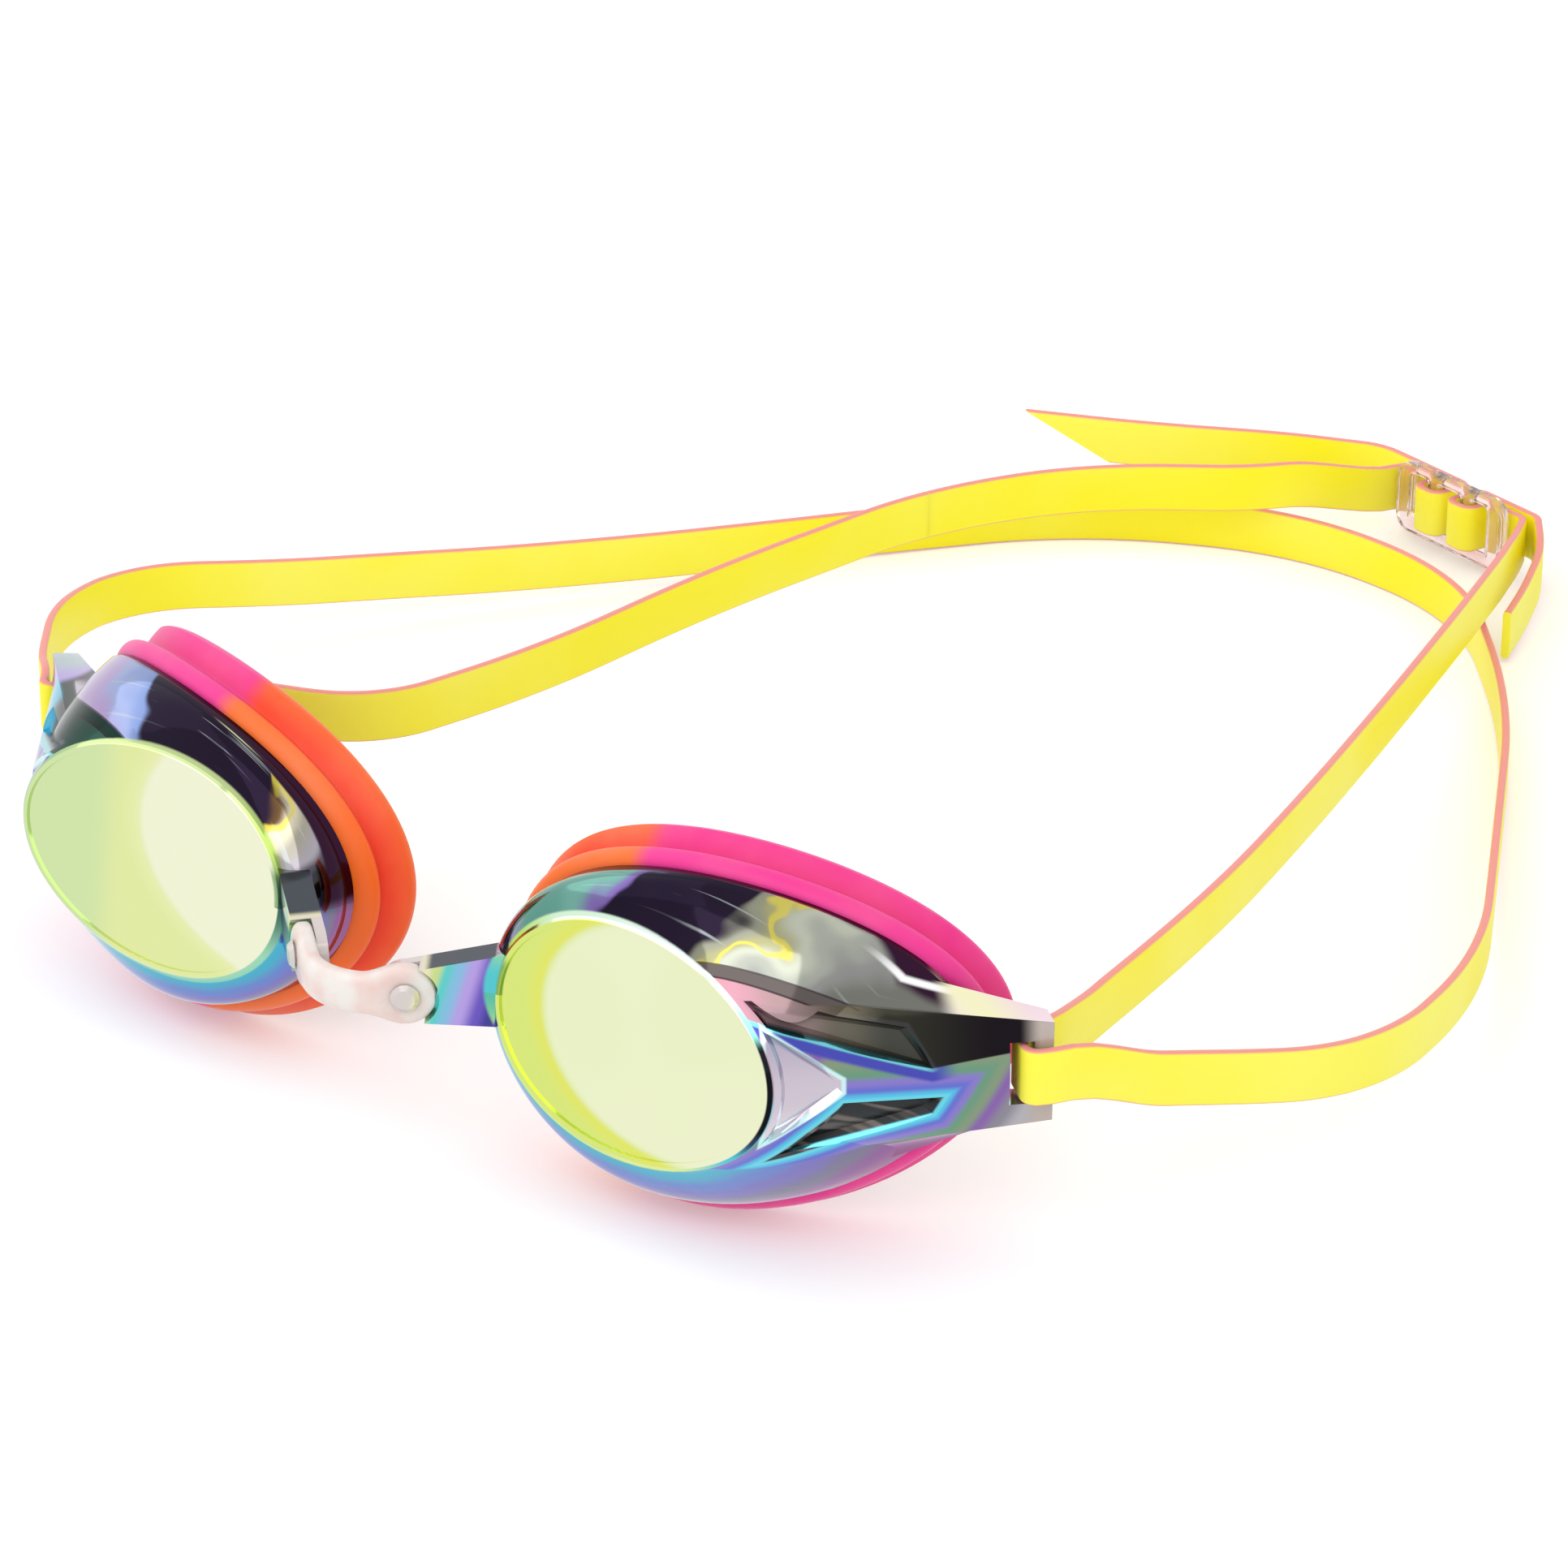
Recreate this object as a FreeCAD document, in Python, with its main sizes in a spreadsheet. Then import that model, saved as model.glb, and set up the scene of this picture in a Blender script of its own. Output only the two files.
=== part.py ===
import FreeCAD, Part
import math
import os

import Sketcher
from FreeCAD import Placement, Rotation, Vector

# Racing swim goggles lying on a table, as one parametric document.
#
# Axes: +Z is up, -Y is the way the wearer looks and +X is the wearer's left.
# The origin is on the table, under the middle of the goggles with their strap.
# The goggles' own middle plane is parallel to YZ, and the two cups are mirror
# images in it. Lengths are in millimetres and angles in degrees.

DIMENSIONS = [
    # where the goggles lie
    ("middle_plane_x", 10.5, "goggles' middle plane from the origin"),
    ("lens_line_y", -103.3, "line through the two lens centres"),
    ("lens_height", 21.8, "lens centres above the table"),
    # lens
    ("lens_spacing", 70.0, "distance between the lens centres"),
    ("lens_half_width", 19.5, "lens outline"),
    ("lens_half_height", 13.0, "lens outline"),
    ("lens_tilt", 7.1, "top of each lens leans back"),
    ("lens_turn", -2.0, "temple side of each lens comes forward"),
    ("lens_roll", 1.3, "temple end of each lens is raised"),
    ("lens_thickness", 1.5, "lens plate"),
    ("lens_recess", 0.25, "lens face sits behind its rim"),
    ("rim_width", 0.9, "raised rim round the lens"),
    ("rim_bevel", 0.35, "bevel of the rim's outer edge"),
    ("oval_egg", 0.06, "ovals are taller on the nose side by this share"),
    # cup wall and flange
    ("flange_half_width", 26.8, "outline of the cup's rear flange"),
    ("flange_half_height", 18.2, "outline of the cup's rear flange"),
    ("flange_out", 3.75, "flange centre is nearer the temple than the lens centre"),
    ("flange_back", 12.2, "gasket lip plane behind the lens centre"),
    ("flange_drop", 0.75, "flange centre below the lens centre"),
    ("flange_forward", 6.2, "flange face in front of the gasket lip plane"),
    ("flange_thickness", 0.9, "flange"),
    ("flange_width", 3.0, "flange, from its edge to the inner wall"),
    ("face_turn", 15.4, "gasket plane turns back towards the temple"),
    ("face_tilt", 6.0, "gasket plane leans back at the top"),
    ("face_roll", 2.1, "temple end of the gasket is raised"),
    ("face_wrap_radius", 40.3, "flange and gasket wrap round the face"),
    ("wall_thickness", 1.9, "cup wall, measured across the oval at the lens"),
    ("wall_bulge", 1.3, "cup wall domes outwards"),
    # gasket
    ("seat_gap", 0.08, "gasket from the flange it is bonded to"),
    ("gasket_inner", 3.3, "gasket's front opening inside the flange edge"),
    ("bead_height", 1.15, "front bead stands out of the flange edge"),
    ("bead_length", 2.2, "front bead along the gasket's depth"),
    ("lip_spread_width", 1.65, "lip is wider than the flange, each side"),
    ("lip_spread_height", 2.8, "lip is taller than the flange, each side"),
    ("lip_rear", 1.9, "lip's rear edge behind its widest line"),
    ("lip_length", 4.0, "lip along the gasket's depth"),
    ("lip_width", 3.2, "lip, from its widest line to its opening"),
    ("colour_split", -9.5, "temple and nose colours meet this far from the gasket centre"),
    # temple arm and strap eyelet
    ("arm_angle", 51.5, "temple arm turns back from the lens plane"),
    ("arm_length", 29.8, "temple arm, lens rim to its end"),
    ("arm_root_top", 50.0, "arm root ends at this angle of the lens oval, above"),
    ("arm_root_bottom", -55.0, "arm root ends at this angle of the lens oval, below"),
    ("arm_blend_top", 36.0, "arm's inner face on the cup wall, above"),
    ("arm_blend_bottom", -44.0, "arm's inner face on the cup wall, below"),
    ("arm_thickness", 3.0, "arm at the eyelet"),
    ("eyelet_height", 11.4, "arm at the eyelet"),
    ("eyelet_raise", 0.5, "eyelet centre above the lens centre"),
    ("eyelet_bar", 2.0, "bar that the strap turns round"),
    ("eyelet_slot", 2.6, "slot for the strap, along the arm"),
    ("upper_recess", 0.8, "depth of the long recess above the rib"),
    ("side_facet", 0.45, "depth of the facet beside the lens"),
    ("lower_recess", 1.0, "depth of the three-cornered recess below the rib"),
    # nose arm
    ("nose_arm_angle", 38.0, "nose arm turns forward from the lens line"),
    ("nose_root_inset", 0.4, "front face of the nose arm starts inside the lens rim"),
    ("nose_root_back", 1.0, "front face of the nose arm starts behind the lens line"),
    ("nose_root_buried", 1.6, "nose arm runs on into the cup wall"),
    ("nose_root_top", 4.2, "nose arm at the lens, above the lens centre"),
    ("nose_root_bottom", 4.6, "nose arm at the lens, below the lens centre"),
    ("nose_eye_reach", 9.9, "lens rim to the post, along the arm"),
    ("nose_eye_drop", 1.15, "post below the lens centre"),
    ("tongue_thickness", 1.2, "tongue behind the bridge's eye"),
    ("tongue_radius", 3.0, "round end of the tongue"),
    ("post_radius", 1.1, "post that the bridge buttons onto"),
    ("post_head_radius", 1.6, "mushroom head of the post"),
    ("post_head_height", 0.5, "mushroom head of the post"),
    # nose bridge
    ("bridge_thickness", 2.2, "nose bridge"),
    ("bridge_eye_radius", 3.5, "round ends of the nose bridge"),
    ("bridge_waist", 4.6, "height of the bridge between its ends"),
    ("bridge_neck", 1.6, "rounded inside corners beside the bridge's eyes"),
    ("bridge_round", 0.5, "rounded edges of the bridge"),
    ("bridge_gap", 0.15, "bridge eye from the arm and post that hold it"),
    # strap
    ("strap_width", 6.4, "strap, standing on its edge"),
    ("strap_thickness", 1.6, "strap"),
    ("strap_gap", 0.2, "strap from the bars that it goes round"),
    ("slot_play", 0.8, "slots are taller than the strap"),
    ("strap_bevel", 12.0, "slanted cut of the long tail, along the strap"),
    # buckle
    ("buckle_x", 3.0, "buckle centre from the goggles' middle plane"),
    ("buckle_back", 206.9, "buckle centre behind the lens line"),
    ("buckle_turn", -15.0, "buckle's long axis from the X axis"),
    ("buckle_length", 20.6, "buckle"),
    ("buckle_height", 10.0, "buckle"),
    ("buckle_thickness", 2.0, "buckle"),
    ("buckle_corner", 2.6, "rounded corners of the buckle"),
    ("buckle_strap_height", 3.0, "strap's lower edge above the table at the buckle"),
    ("buckle_bar", 2.0, "inner bars of the buckle"),
    ("buckle_middle_slot", 4.4, "slot that both strap ends leave by"),
    ("buckle_side_slot", 3.2, "slot that each strap end enters by"),
    ("buckle_slot_corner", 0.6, "rounded corners of the slots"),
    ("buckle_round", 0.6, "rounded edges of the bars"),
    ("strap_bend", 0.5, "tightest bend of the strap's inner face"),
    ("layer_gap", 0.15, "tail from the strap layer it lies on"),
]

RING_POINTS = 18
FORWARD = Vector(0, -1, 0)
UP = Vector(0, 0, 1)

doc = FreeCAD.newDocument("SwimGoggles")
sheet = doc.addObject("Spreadsheet::Sheet", "Dimensions")
for row, (name, value, note) in enumerate(DIMENSIONS, start=1):
    sheet.set("A%d" % row, name)
    sheet.set("B%d" % row, str(value))
    sheet.set("C%d" % row, note)
    sheet.setAlias("B%d" % row, name)
doc.recompute()


def size(name):
    """A driving dimension, read from the sheet."""
    return float(sheet.get(name))


def value_of(expression):
    """Number that an expression of the sheet's values comes to."""
    return float(sheet.evalExpression(expression))


def turned(angle):
    """Rotation about the vertical axis."""
    return Rotation(UP, angle)


def leaning_back(angle):
    """Rotation about X that takes the top of a thing back."""
    return Rotation(Vector(1, 0, 0), -angle)


def add_shape(name, shape):
    """A document object that holds a shape worked out here."""
    feature = doc.addObject("Part::Feature", name)
    feature.Shape = shape
    return feature


def on_goggles(x, y, z):
    """A point given from the midpoint of the two lens centres."""
    return Vector(size("middle_plane_x") + x, size("lens_line_y") + y, size("lens_height") + z)


# ---------------------------------------------------------------- oval rings

LENS_PLACE = Placement(
    on_goggles(size("lens_spacing") / 2, 0, 0),
    turned(size("lens_turn")) * leaning_back(size("lens_tilt")),
)
FACE_PLACE = Placement(
    on_goggles(size("lens_spacing") / 2 + size("flange_out"), size("flange_back"),
               -size("flange_drop")),
    turned(size("face_turn")) * leaning_back(size("face_tilt")),
)


def oval(angle, half_width, half_height, roll):
    """Egg-shaped oval: taller on the nose side, rolled in its own plane."""
    across = half_width * math.cos(angle)
    egg = 1 - size("oval_egg") * math.cos(angle)
    upward = half_height * math.sin(angle) * egg
    cosine = math.cos(math.radians(roll))
    sine = math.sin(math.radians(roll))
    return across * cosine - upward * sine, across * sine + upward * cosine


def lens_point(angle, inset, depth):
    """Point on the lens oval, inset from its outline and behind its front plane."""
    across, upward = oval(angle, size("lens_half_width") - inset,
                          size("lens_half_height") - inset, size("lens_roll"))
    return LENS_PLACE.multVec(Vector(across, depth, upward))


def face_point(angle, outward, depth, spread=0.0):
    """Point on the oval that wraps round the face.

    outward is measured from the flange edge, depth from the gasket's widest
    line, and spread takes the outline from the flange (0) to the lip (1).
    """
    half_width = size("flange_half_width") + spread * size("lip_spread_width") + outward
    half_height = size("flange_half_height") + spread * size("lip_spread_height") + outward
    across, upward = oval(angle, half_width, half_height, size("face_roll"))
    wrap = across * across / (2 * size("face_wrap_radius"))
    return FACE_PLACE.multVec(Vector(across, wrap + depth, upward))


FLANGE_FRONT = -size("flange_forward")
FLANGE_REAR = FLANGE_FRONT + size("flange_thickness")


def wall_point(angle, share, inside):
    """Point on the cup wall, share 0 at the lens and 1 at the flange."""
    if inside:
        start = lens_point(angle, size("wall_thickness"), size("lens_thickness"))
        end = face_point(angle, -size("flange_width"), FLANGE_REAR)
    else:
        start = lens_point(angle, 0, size("rim_bevel"))
        end = face_point(angle, 0, FLANGE_FRONT)
    axis = end - start
    middle = LENS_PLACE.Base + (FACE_PLACE.Base - LENS_PLACE.Base) * share
    outward = start - middle
    outward = outward - axis * (outward.dot(axis) / axis.dot(axis))
    outward.normalize()
    bulge = 4 * share * (1 - share) * size("wall_bulge")
    return start + axis * share + outward * bulge


def closed_curve(point_at):
    """Smooth closed edge through point_at(angle) for angles all round."""
    points = [point_at(2 * math.pi * i / RING_POINTS) for i in range(RING_POINTS)]
    curve = Part.BSplineCurve()
    curve.interpolate(Points=points, PeriodicFlag=True,
                      Parameters=[float(i) for i in range(RING_POINTS + 1)])
    return curve.toShape()


def open_curve(point_at, start, end, count=7):
    """Smooth edge through point_at(angle) from start to end, in degrees."""
    angles = [math.radians(start + (end - start) * i / (count - 1)) for i in range(count)]
    curve = Part.BSplineCurve()
    curve.interpolate(Points=[point_at(angle) for angle in angles],
                      Parameters=[float(i) for i in range(count)])
    return curve.toShape()


def sewn_solid(faces):
    """Solid bounded by faces that share their edges."""
    shell = Part.makeShell(faces)
    shell.sewShape()
    solid = Part.makeSolid(Part.makeShell(shell.Faces))
    solid.fix(1e-4, 1e-4, 1e-3)
    if solid.Volume < 0:
        solid.reverse()
    return solid


def ring_band(first, second):
    """Ruled band between two closed edges."""
    return Part.makeRuledSurface(first, second)


def domed_band(edges):
    """Smooth band through three or more closed edges."""
    return Part.makeLoft([Part.Wire(edge) for edge in edges], False, False).Faces[0]


def flat_cap(edge):
    """Flat face inside a closed edge."""
    return Part.Face(Part.Wire(edge))


# ------------------------------------------------------------------ lens cup

WALL_SHARES = (0.25, 0.5, 0.75)


def cup_outside():
    """The cup without its hollow: lens rim, domed wall and flange."""
    face = closed_curve(lambda angle: lens_point(angle, size("rim_bevel"), 0))
    rim = closed_curve(lambda angle: lens_point(angle, 0, size("rim_bevel")))
    wall = [closed_curve(lambda angle, share=share: wall_point(angle, share, False))
            for share in WALL_SHARES]
    front = closed_curve(lambda angle: face_point(angle, 0, FLANGE_FRONT))
    rear = closed_curve(lambda angle: face_point(angle, 0, FLANGE_REAR))
    inner = closed_curve(lambda angle: face_point(angle, -1.2 * size("flange_width"),
                                                  FLANGE_REAR))
    core = closed_curve(lambda angle: lens_point(angle, size("lens_half_height") / 2,
                                                 size("lens_half_height") / 2))
    return sewn_solid([
        flat_cap(face),
        ring_band(face, rim),
        domed_band([rim] + wall + [front]),
        ring_band(front, rear),
        ring_band(rear, inner),
        ring_band(inner, core),
        flat_cap(core),
    ])


def eye_hollow():
    """The space inside the cup, from the back of the lens out past the flange."""
    lens = closed_curve(lambda angle: wall_point(angle, 0, True))
    wall = [closed_curve(lambda angle, share=share: wall_point(angle, share, True))
            for share in WALL_SHARES]
    inner = closed_curve(lambda angle: face_point(angle, -size("flange_width"), FLANGE_REAR))
    behind = closed_curve(lambda angle: face_point(angle, -size("flange_width"), 0))
    far = closed_curve(lambda angle: lens_point(angle, size("lens_half_height") / 2,
                                                2 * size("lens_half_height")))
    return sewn_solid([
        flat_cap(lens),
        domed_band([lens] + wall + [inner]),
        ring_band(inner, behind),
        ring_band(behind, far),
        flat_cap(far),
    ])


def lens_pocket():
    """The shallow recess that leaves a raised rim round the lens."""
    edge = closed_curve(lambda angle: lens_point(angle, size("rim_width"), size("lens_recess")))
    front = LENS_PLACE.Rotation.multVec(FORWARD)
    return flat_cap(edge).extrude(front * (2 * size("lens_recess")))


def ruled_block(near_a, near_b, far_a, far_b):
    """Solid with six ruled sides between four edges that all run upwards."""
    def corner_line(first, second, end):
        return Part.makeLine(first.Vertexes[end].Point, second.Vertexes[end].Point)

    sides = [
        Part.makeRuledSurface(near_a, far_a),
        Part.makeRuledSurface(near_b, far_b),
        Part.makeRuledSurface(near_a, near_b),
        Part.makeRuledSurface(far_a, far_b),
    ]
    for end in (0, 1):
        sides.append(Part.makeRuledSurface(corner_line(near_a, far_a, end),
                                           corner_line(near_b, far_b, end)))
    return sewn_solid(sides)


# Temple arm: its outer face runs from the lens rim to the eyelet's end.
ARM_TURN = math.radians(size("arm_angle"))
ARM_ALONG = Vector(math.cos(ARM_TURN), math.sin(ARM_TURN), 0)
ARM_OUTWARD = Vector(math.sin(ARM_TURN), -math.cos(ARM_TURN), 0)
ARM_START = lens_point(0, 0, size("rim_bevel"))
EYELET_Z = size("lens_height") + size("eyelet_raise")


def arm_point(along, outward, height):
    """Point on the temple arm: from the lens rim, from its outer face, from eyelet centre."""
    point = ARM_START + ARM_ALONG * along + ARM_OUTWARD * outward
    return Vector(point.x, point.y, EYELET_Z + height)


def upright_edge(along, outward):
    """Vertical edge of the temple arm at its eyelet end, running upwards."""
    half = size("eyelet_height") / 2
    return Part.makeLine(arm_point(along, outward, -half), arm_point(along, outward, half))


def arm_rim(angle):
    """Where the arm's outer face starts on the lens rim."""
    return lens_point(angle, 0.08, size("rim_bevel"))


def temple_arm():
    """Wedge from the lens rim and cup wall to the eyelet."""
    root_outer = open_curve(arm_rim, size("arm_root_bottom"), size("arm_root_top"))
    root_inner = open_curve(lambda angle: wall_point(angle, 0.85, False) + ARM_OUTWARD * -0.5,
                            size("arm_blend_bottom"), size("arm_blend_top"))
    end = size("arm_length")
    return ruled_block(root_outer, root_inner, upright_edge(end, 0),
                       upright_edge(end, -size("arm_thickness")))


# Corners of the recesses in the arm's outer face, each (oval angle, share of the
# arm's length): first the edge nearer the lens, lower corner first, then the far one.
UPPER_RECESS = (((36, 0.06), (46, 0.05)), ((10, 0.57), (38, 0.52)))
SIDE_FACET = (((-28, 0.035), (33, 0.035)), ((0, 0.25), (7, 0.25)))
LOWER_RECESS = (((-48, 0.12), (-7, 0.26)), ((-27, 0.6), (-13, 0.62)))
RECESS_LIFT = 0.6


def arm_face_point(angle, share, rise):
    """Point on the arm's outer face: oval angle at the lens, share of the way to its end.

    rise lifts the point off the face, or sinks it when it is negative.
    """
    low = size("arm_root_bottom")
    high = size("arm_root_top")
    half = size("eyelet_height") / 2
    start = arm_rim(math.radians(angle))
    height = (2 * (angle - low) / (high - low) - 1) * half
    end = arm_point(size("arm_length"), 0, height)
    outward = ARM_OUTWARD + LENS_PLACE.Rotation.multVec(
        Vector(0, 0, math.sin(math.radians(angle)))) * (0.5 * (1 - share))
    outward.normalize()
    return start + (end - start) * share + outward * rise


def recess_edge(lower, upper, rise, onward):
    """Edge across the arm between two corners of a recess, rise above the arm's face.

    The recess's sides slope at 45 degrees, so it widens as it rises.
    """
    widen = math.degrees(rise / size("lens_half_height"))
    shift = onward * rise / size("arm_length")
    start = lower[0] - widen
    end = upper[0] + widen

    def edge_point(turn):
        part = (math.degrees(turn) - start) / (end - start)
        share = lower[1] + (upper[1] - lower[1]) * part
        return arm_face_point(math.degrees(turn), share + shift, rise)

    return open_curve(edge_point, start, end, 5)


def arm_recess(outline, depth):
    """Cutter for a recess with sloped sides in the arm's outer face."""
    near, far = outline
    return ruled_block(recess_edge(*near, RECESS_LIFT, -1), recess_edge(*near, -depth, -1),
                       recess_edge(*far, RECESS_LIFT, 1), recess_edge(*far, -depth, 1))


def arm_recesses():
    """The recesses that leave a forked rib standing on the temple arm."""
    return [
        arm_recess(UPPER_RECESS, size("upper_recess")),
        arm_recess(SIDE_FACET, size("side_facet")),
        arm_recess(LOWER_RECESS, size("lower_recess")),
    ]


BAR_ALONG = size("arm_length") - size("eyelet_bar") / 2
BAR_OUTWARD = -size("arm_thickness") / 2


def eyelet_slot():
    """Cutter for the slot that the strap goes through, in front of its bar."""
    height = size("strap_width") + size("slot_play")
    depth = 3 * size("arm_thickness")
    block = Part.makeBox(size("eyelet_slot"), depth, height)
    start = size("arm_length") - size("eyelet_bar") - size("eyelet_slot")
    block.Placement = Placement(arm_point(start, size("arm_thickness"), -height / 2),
                                Rotation(ARM_ALONG, ARM_OUTWARD * -1, UP, "XYZ"))
    return block


# Nose arm: its own frame has X along the arm, Y back into it and Z up.
NOSE_PLACE = Placement(
    on_goggles(size("lens_spacing") / 2 - size("lens_half_width") + size("nose_root_inset"),
               size("nose_root_back"), 0),
    turned(180 + size("nose_arm_angle")),
)
EYE_ON_ARM = Vector(size("nose_eye_reach"), 0, -size("nose_eye_drop"))
EYE_MIDDLE = NOSE_PLACE.multVec(EYE_ON_ARM - Vector(0, size("bridge_thickness") / 2, 0))


def nose_arm():
    """Tapered tab that ends in a hollow step, a thin round tongue and a button post."""
    depth = size("bridge_thickness") + size("tongue_thickness")
    root = -size("nose_root_buried")
    tip = size("nose_eye_reach")
    half = size("tongue_radius")
    outline = Part.makePolygon([
        Vector(root, 0, -size("nose_root_bottom")),
        Vector(tip, 0, -size("nose_eye_drop") - half),
        Vector(tip, 0, -size("nose_eye_drop") + half),
        Vector(root, 0, size("nose_root_top")),
        Vector(root, 0, -size("nose_root_bottom")),
    ])
    back = Vector(0, -1, 0)
    tab = Part.Face(outline).extrude(back * depth)
    step = Part.makeCylinder(size("bridge_eye_radius") + size("bridge_gap"),
                             size("bridge_thickness") + 2, EYE_ON_ARM - back * 2, back)
    clear_tip = Part.makeBox(2 * half, size("bridge_thickness") + 2, 4 * half,
                             EYE_ON_ARM + Vector(0, -size("bridge_thickness"), -2 * half))
    tongue = Part.makeCylinder(half, size("tongue_thickness"),
                               EYE_ON_ARM + back * size("bridge_thickness"), back)
    sunk = size("tongue_thickness") / 2
    post = Part.makeCylinder(size("post_radius"),
                             sunk + size("bridge_thickness") + 2 * size("bridge_gap"),
                             EYE_ON_ARM + back * (size("bridge_thickness") + sunk), back * -1)
    head = Part.makeCone(size("post_head_radius"), size("post_radius"), size("post_head_height"),
                         EYE_ON_ARM - back * size("bridge_gap"), back * -1)
    arm = tab.cut([step, clear_tip]).fuse([tongue, post, head])
    arm.Placement = NOSE_PLACE
    return arm


def left_cup():
    """One moulding: lens, wall, flange, temple arm and nose arm."""
    body = cup_outside().fuse([temple_arm(), nose_arm()])
    cutters = [eye_hollow(), lens_pocket(), eyelet_slot()] + arm_recesses()
    return body.cut(cutters).Solids[0]

# -------------------------------------------------------------------- gasket


def gasket_row(outward, depth):
    """Point function for one ring of the gasket, which spreads out towards the lip."""
    share = min(max(1 + depth / size("flange_forward"), 0), 1)
    return lambda angle: face_point(angle, outward, depth, share * share)


def arc_rows(middle, radii, start, end, count):
    """Rows (outward, depth) evenly spaced along an elliptical arc, angles in degrees."""
    rows = []
    for i in range(count):
        turn = math.radians(start + (end - start) * i / (count - 1))
        rows.append((middle[0] + radii[0] * math.cos(turn), middle[1] + radii[1] * math.sin(turn)))
    return rows


def gasket_rows():
    """Outline across the gasket, as rows (outward, depth) all the way round it.

    The flat front meets the flange. The rows then run over the front bead,
    down into the groove, round the face lip and back along the inner wall.
    """
    front = FLANGE_REAR + size("seat_gap")
    half_bead = size("bead_length") / 2
    half_lip = size("lip_length") / 2
    lip_round = size("lip_width") / 2
    lip_middle = (-lip_round, size("lip_rear") - half_lip)
    bead = arc_rows((0, front + half_bead), (size("bead_height"), half_bead), -90, 50, 7)
    lip = arc_rows(lip_middle, (lip_round, half_lip), -55, 150, 11)
    inner_edge = (-size("gasket_inner"), front)
    inner_middle = (-size("gasket_inner") - 0.5, 0.5 * (front + lip[-1][1]))
    return [inner_edge] + bead + lip + [inner_middle]


def gasket_ring():
    """The whole silicone ring of one eye."""
    rings = [closed_curve(gasket_row(outward, depth)) for outward, depth in gasket_rows()]
    return sewn_solid([ring_band(first, second)
                       for first, second in zip(rings, rings[1:] + rings[:1])])


def colour_block(side):
    """Block that holds the temple (1) or nose (-1) colour of the gasket."""
    reach = 2 * size("flange_half_width")
    block = Part.makeBox(reach, 2 * reach, 2 * reach)
    start = size("colour_split") if side > 0 else size("colour_split") - reach
    block.Placement = FACE_PLACE * Placement(Vector(start, -reach, -reach), Rotation())
    return block


# --------------------------------------------------------- PartDesign bodies


def origin_plane(body, role):
    """One of a body's own origin planes."""
    return next(item for item in body.Origin.OriginFeatures if item.Role == role)


def new_sketch(body, name, role, place=None):
    """Sketch on one of the body's origin planes."""
    sketch = body.newObject("Sketcher::SketchObject", name)
    sketch.AttachmentSupport = [(origin_plane(body, role), "")]
    sketch.MapMode = "FlatFace"
    if place is not None:
        sketch.AttachmentOffset = place
    return sketch


def bind(sketch, constraint, expression):
    """Add a constraint whose value follows the sheet."""
    index = sketch.addConstraint(constraint)
    sketch.setExpression("Constraints[%d]" % index, expression)


def join_ends(sketch, pairs):
    """Coincident constraints between (edge, end, edge, end)."""
    for pair in pairs:
        sketch.addConstraint(Sketcher.Constraint("Coincident", *pair))


def add_rectangle(sketch, left, width, height):
    """Rectangle level with the origin. left, width and height are expressions.

    Without a left edge it is centred on the origin.
    """
    wide = value_of(width)
    high = value_of(height)
    start = -wide / 2 if left is None else value_of(left)
    corners = [Vector(start, -high / 2, 0), Vector(start + wide, -high / 2, 0),
               Vector(start + wide, high / 2, 0), Vector(start, high / 2, 0)]
    sides = [sketch.addGeometry(Part.LineSegment(corners[i], corners[(i + 1) % 4]))
             for i in range(4)]
    join_ends(sketch, [(sides[i], 2, sides[(i + 1) % 4], 1) for i in range(4)])
    for side, kind in ((0, "Horizontal"), (2, "Horizontal"), (3, "Vertical")):
        sketch.addConstraint(Sketcher.Constraint(kind, sides[side]))
    bind(sketch, Sketcher.Constraint("DistanceX", sides[0], 1, sides[0], 2, wide), width)
    bind(sketch, Sketcher.Constraint("DistanceY", sides[1], 1, sides[1], 2, high), height)
    if left is None:
        sketch.addConstraint(Sketcher.Constraint("Vertical", sides[1]))
        sketch.addConstraint(Sketcher.Constraint("Symmetric", sides[0], 1, sides[1], 2, -1, 1))
    else:
        sketch.addConstraint(Sketcher.Constraint("Symmetric", sides[1], 1, sides[1], 2, -1))
        bind(sketch, Sketcher.Constraint("DistanceX", -1, 1, sides[0], 1, start), left)


def add_circle(sketch, radius):
    """Circle round the sketch origin. radius is an expression."""
    value = value_of(radius)
    index = sketch.addGeometry(Part.Circle(Vector(0, 0, 0), UP, value))
    join_ends(sketch, [(index, 3, -1, 1)])
    bind(sketch, Sketcher.Constraint("Radius", index, value), radius)


def add_pad(body, name, sketch, length):
    """Pad to both sides of the sketch. length is an expression."""
    pad = body.newObject("PartDesign::Pad", name)
    pad.Profile = sketch
    pad.SideType = "Symmetric"
    pad.setExpression("Length", length)
    return pad


def add_through_pocket(body, name, sketch):
    """Pocket through the whole body, to both sides of the sketch."""
    doc.recompute()
    before = body.Shape.Volume
    pocket = body.newObject("PartDesign::Pocket", name)
    pocket.Profile = sketch
    pocket.SideType = "Symmetric"
    pocket.Type = "ThroughAll"
    doc.recompute()
    if body.Shape.Volume >= before:
        raise RuntimeError(name + " cuts nothing")
    return pocket


def add_mirrored(body, name, feature):
    """Mirror image of a feature in the body's YZ plane."""
    doc.recompute()
    mirrored = body.newObject("PartDesign::Mirrored", name)
    mirrored.Originals = [feature]
    mirrored.MirrorPlane = (origin_plane(body, "YZ_Plane"), [""])
    body.Tip = mirrored
    doc.recompute()
    return mirrored


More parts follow.
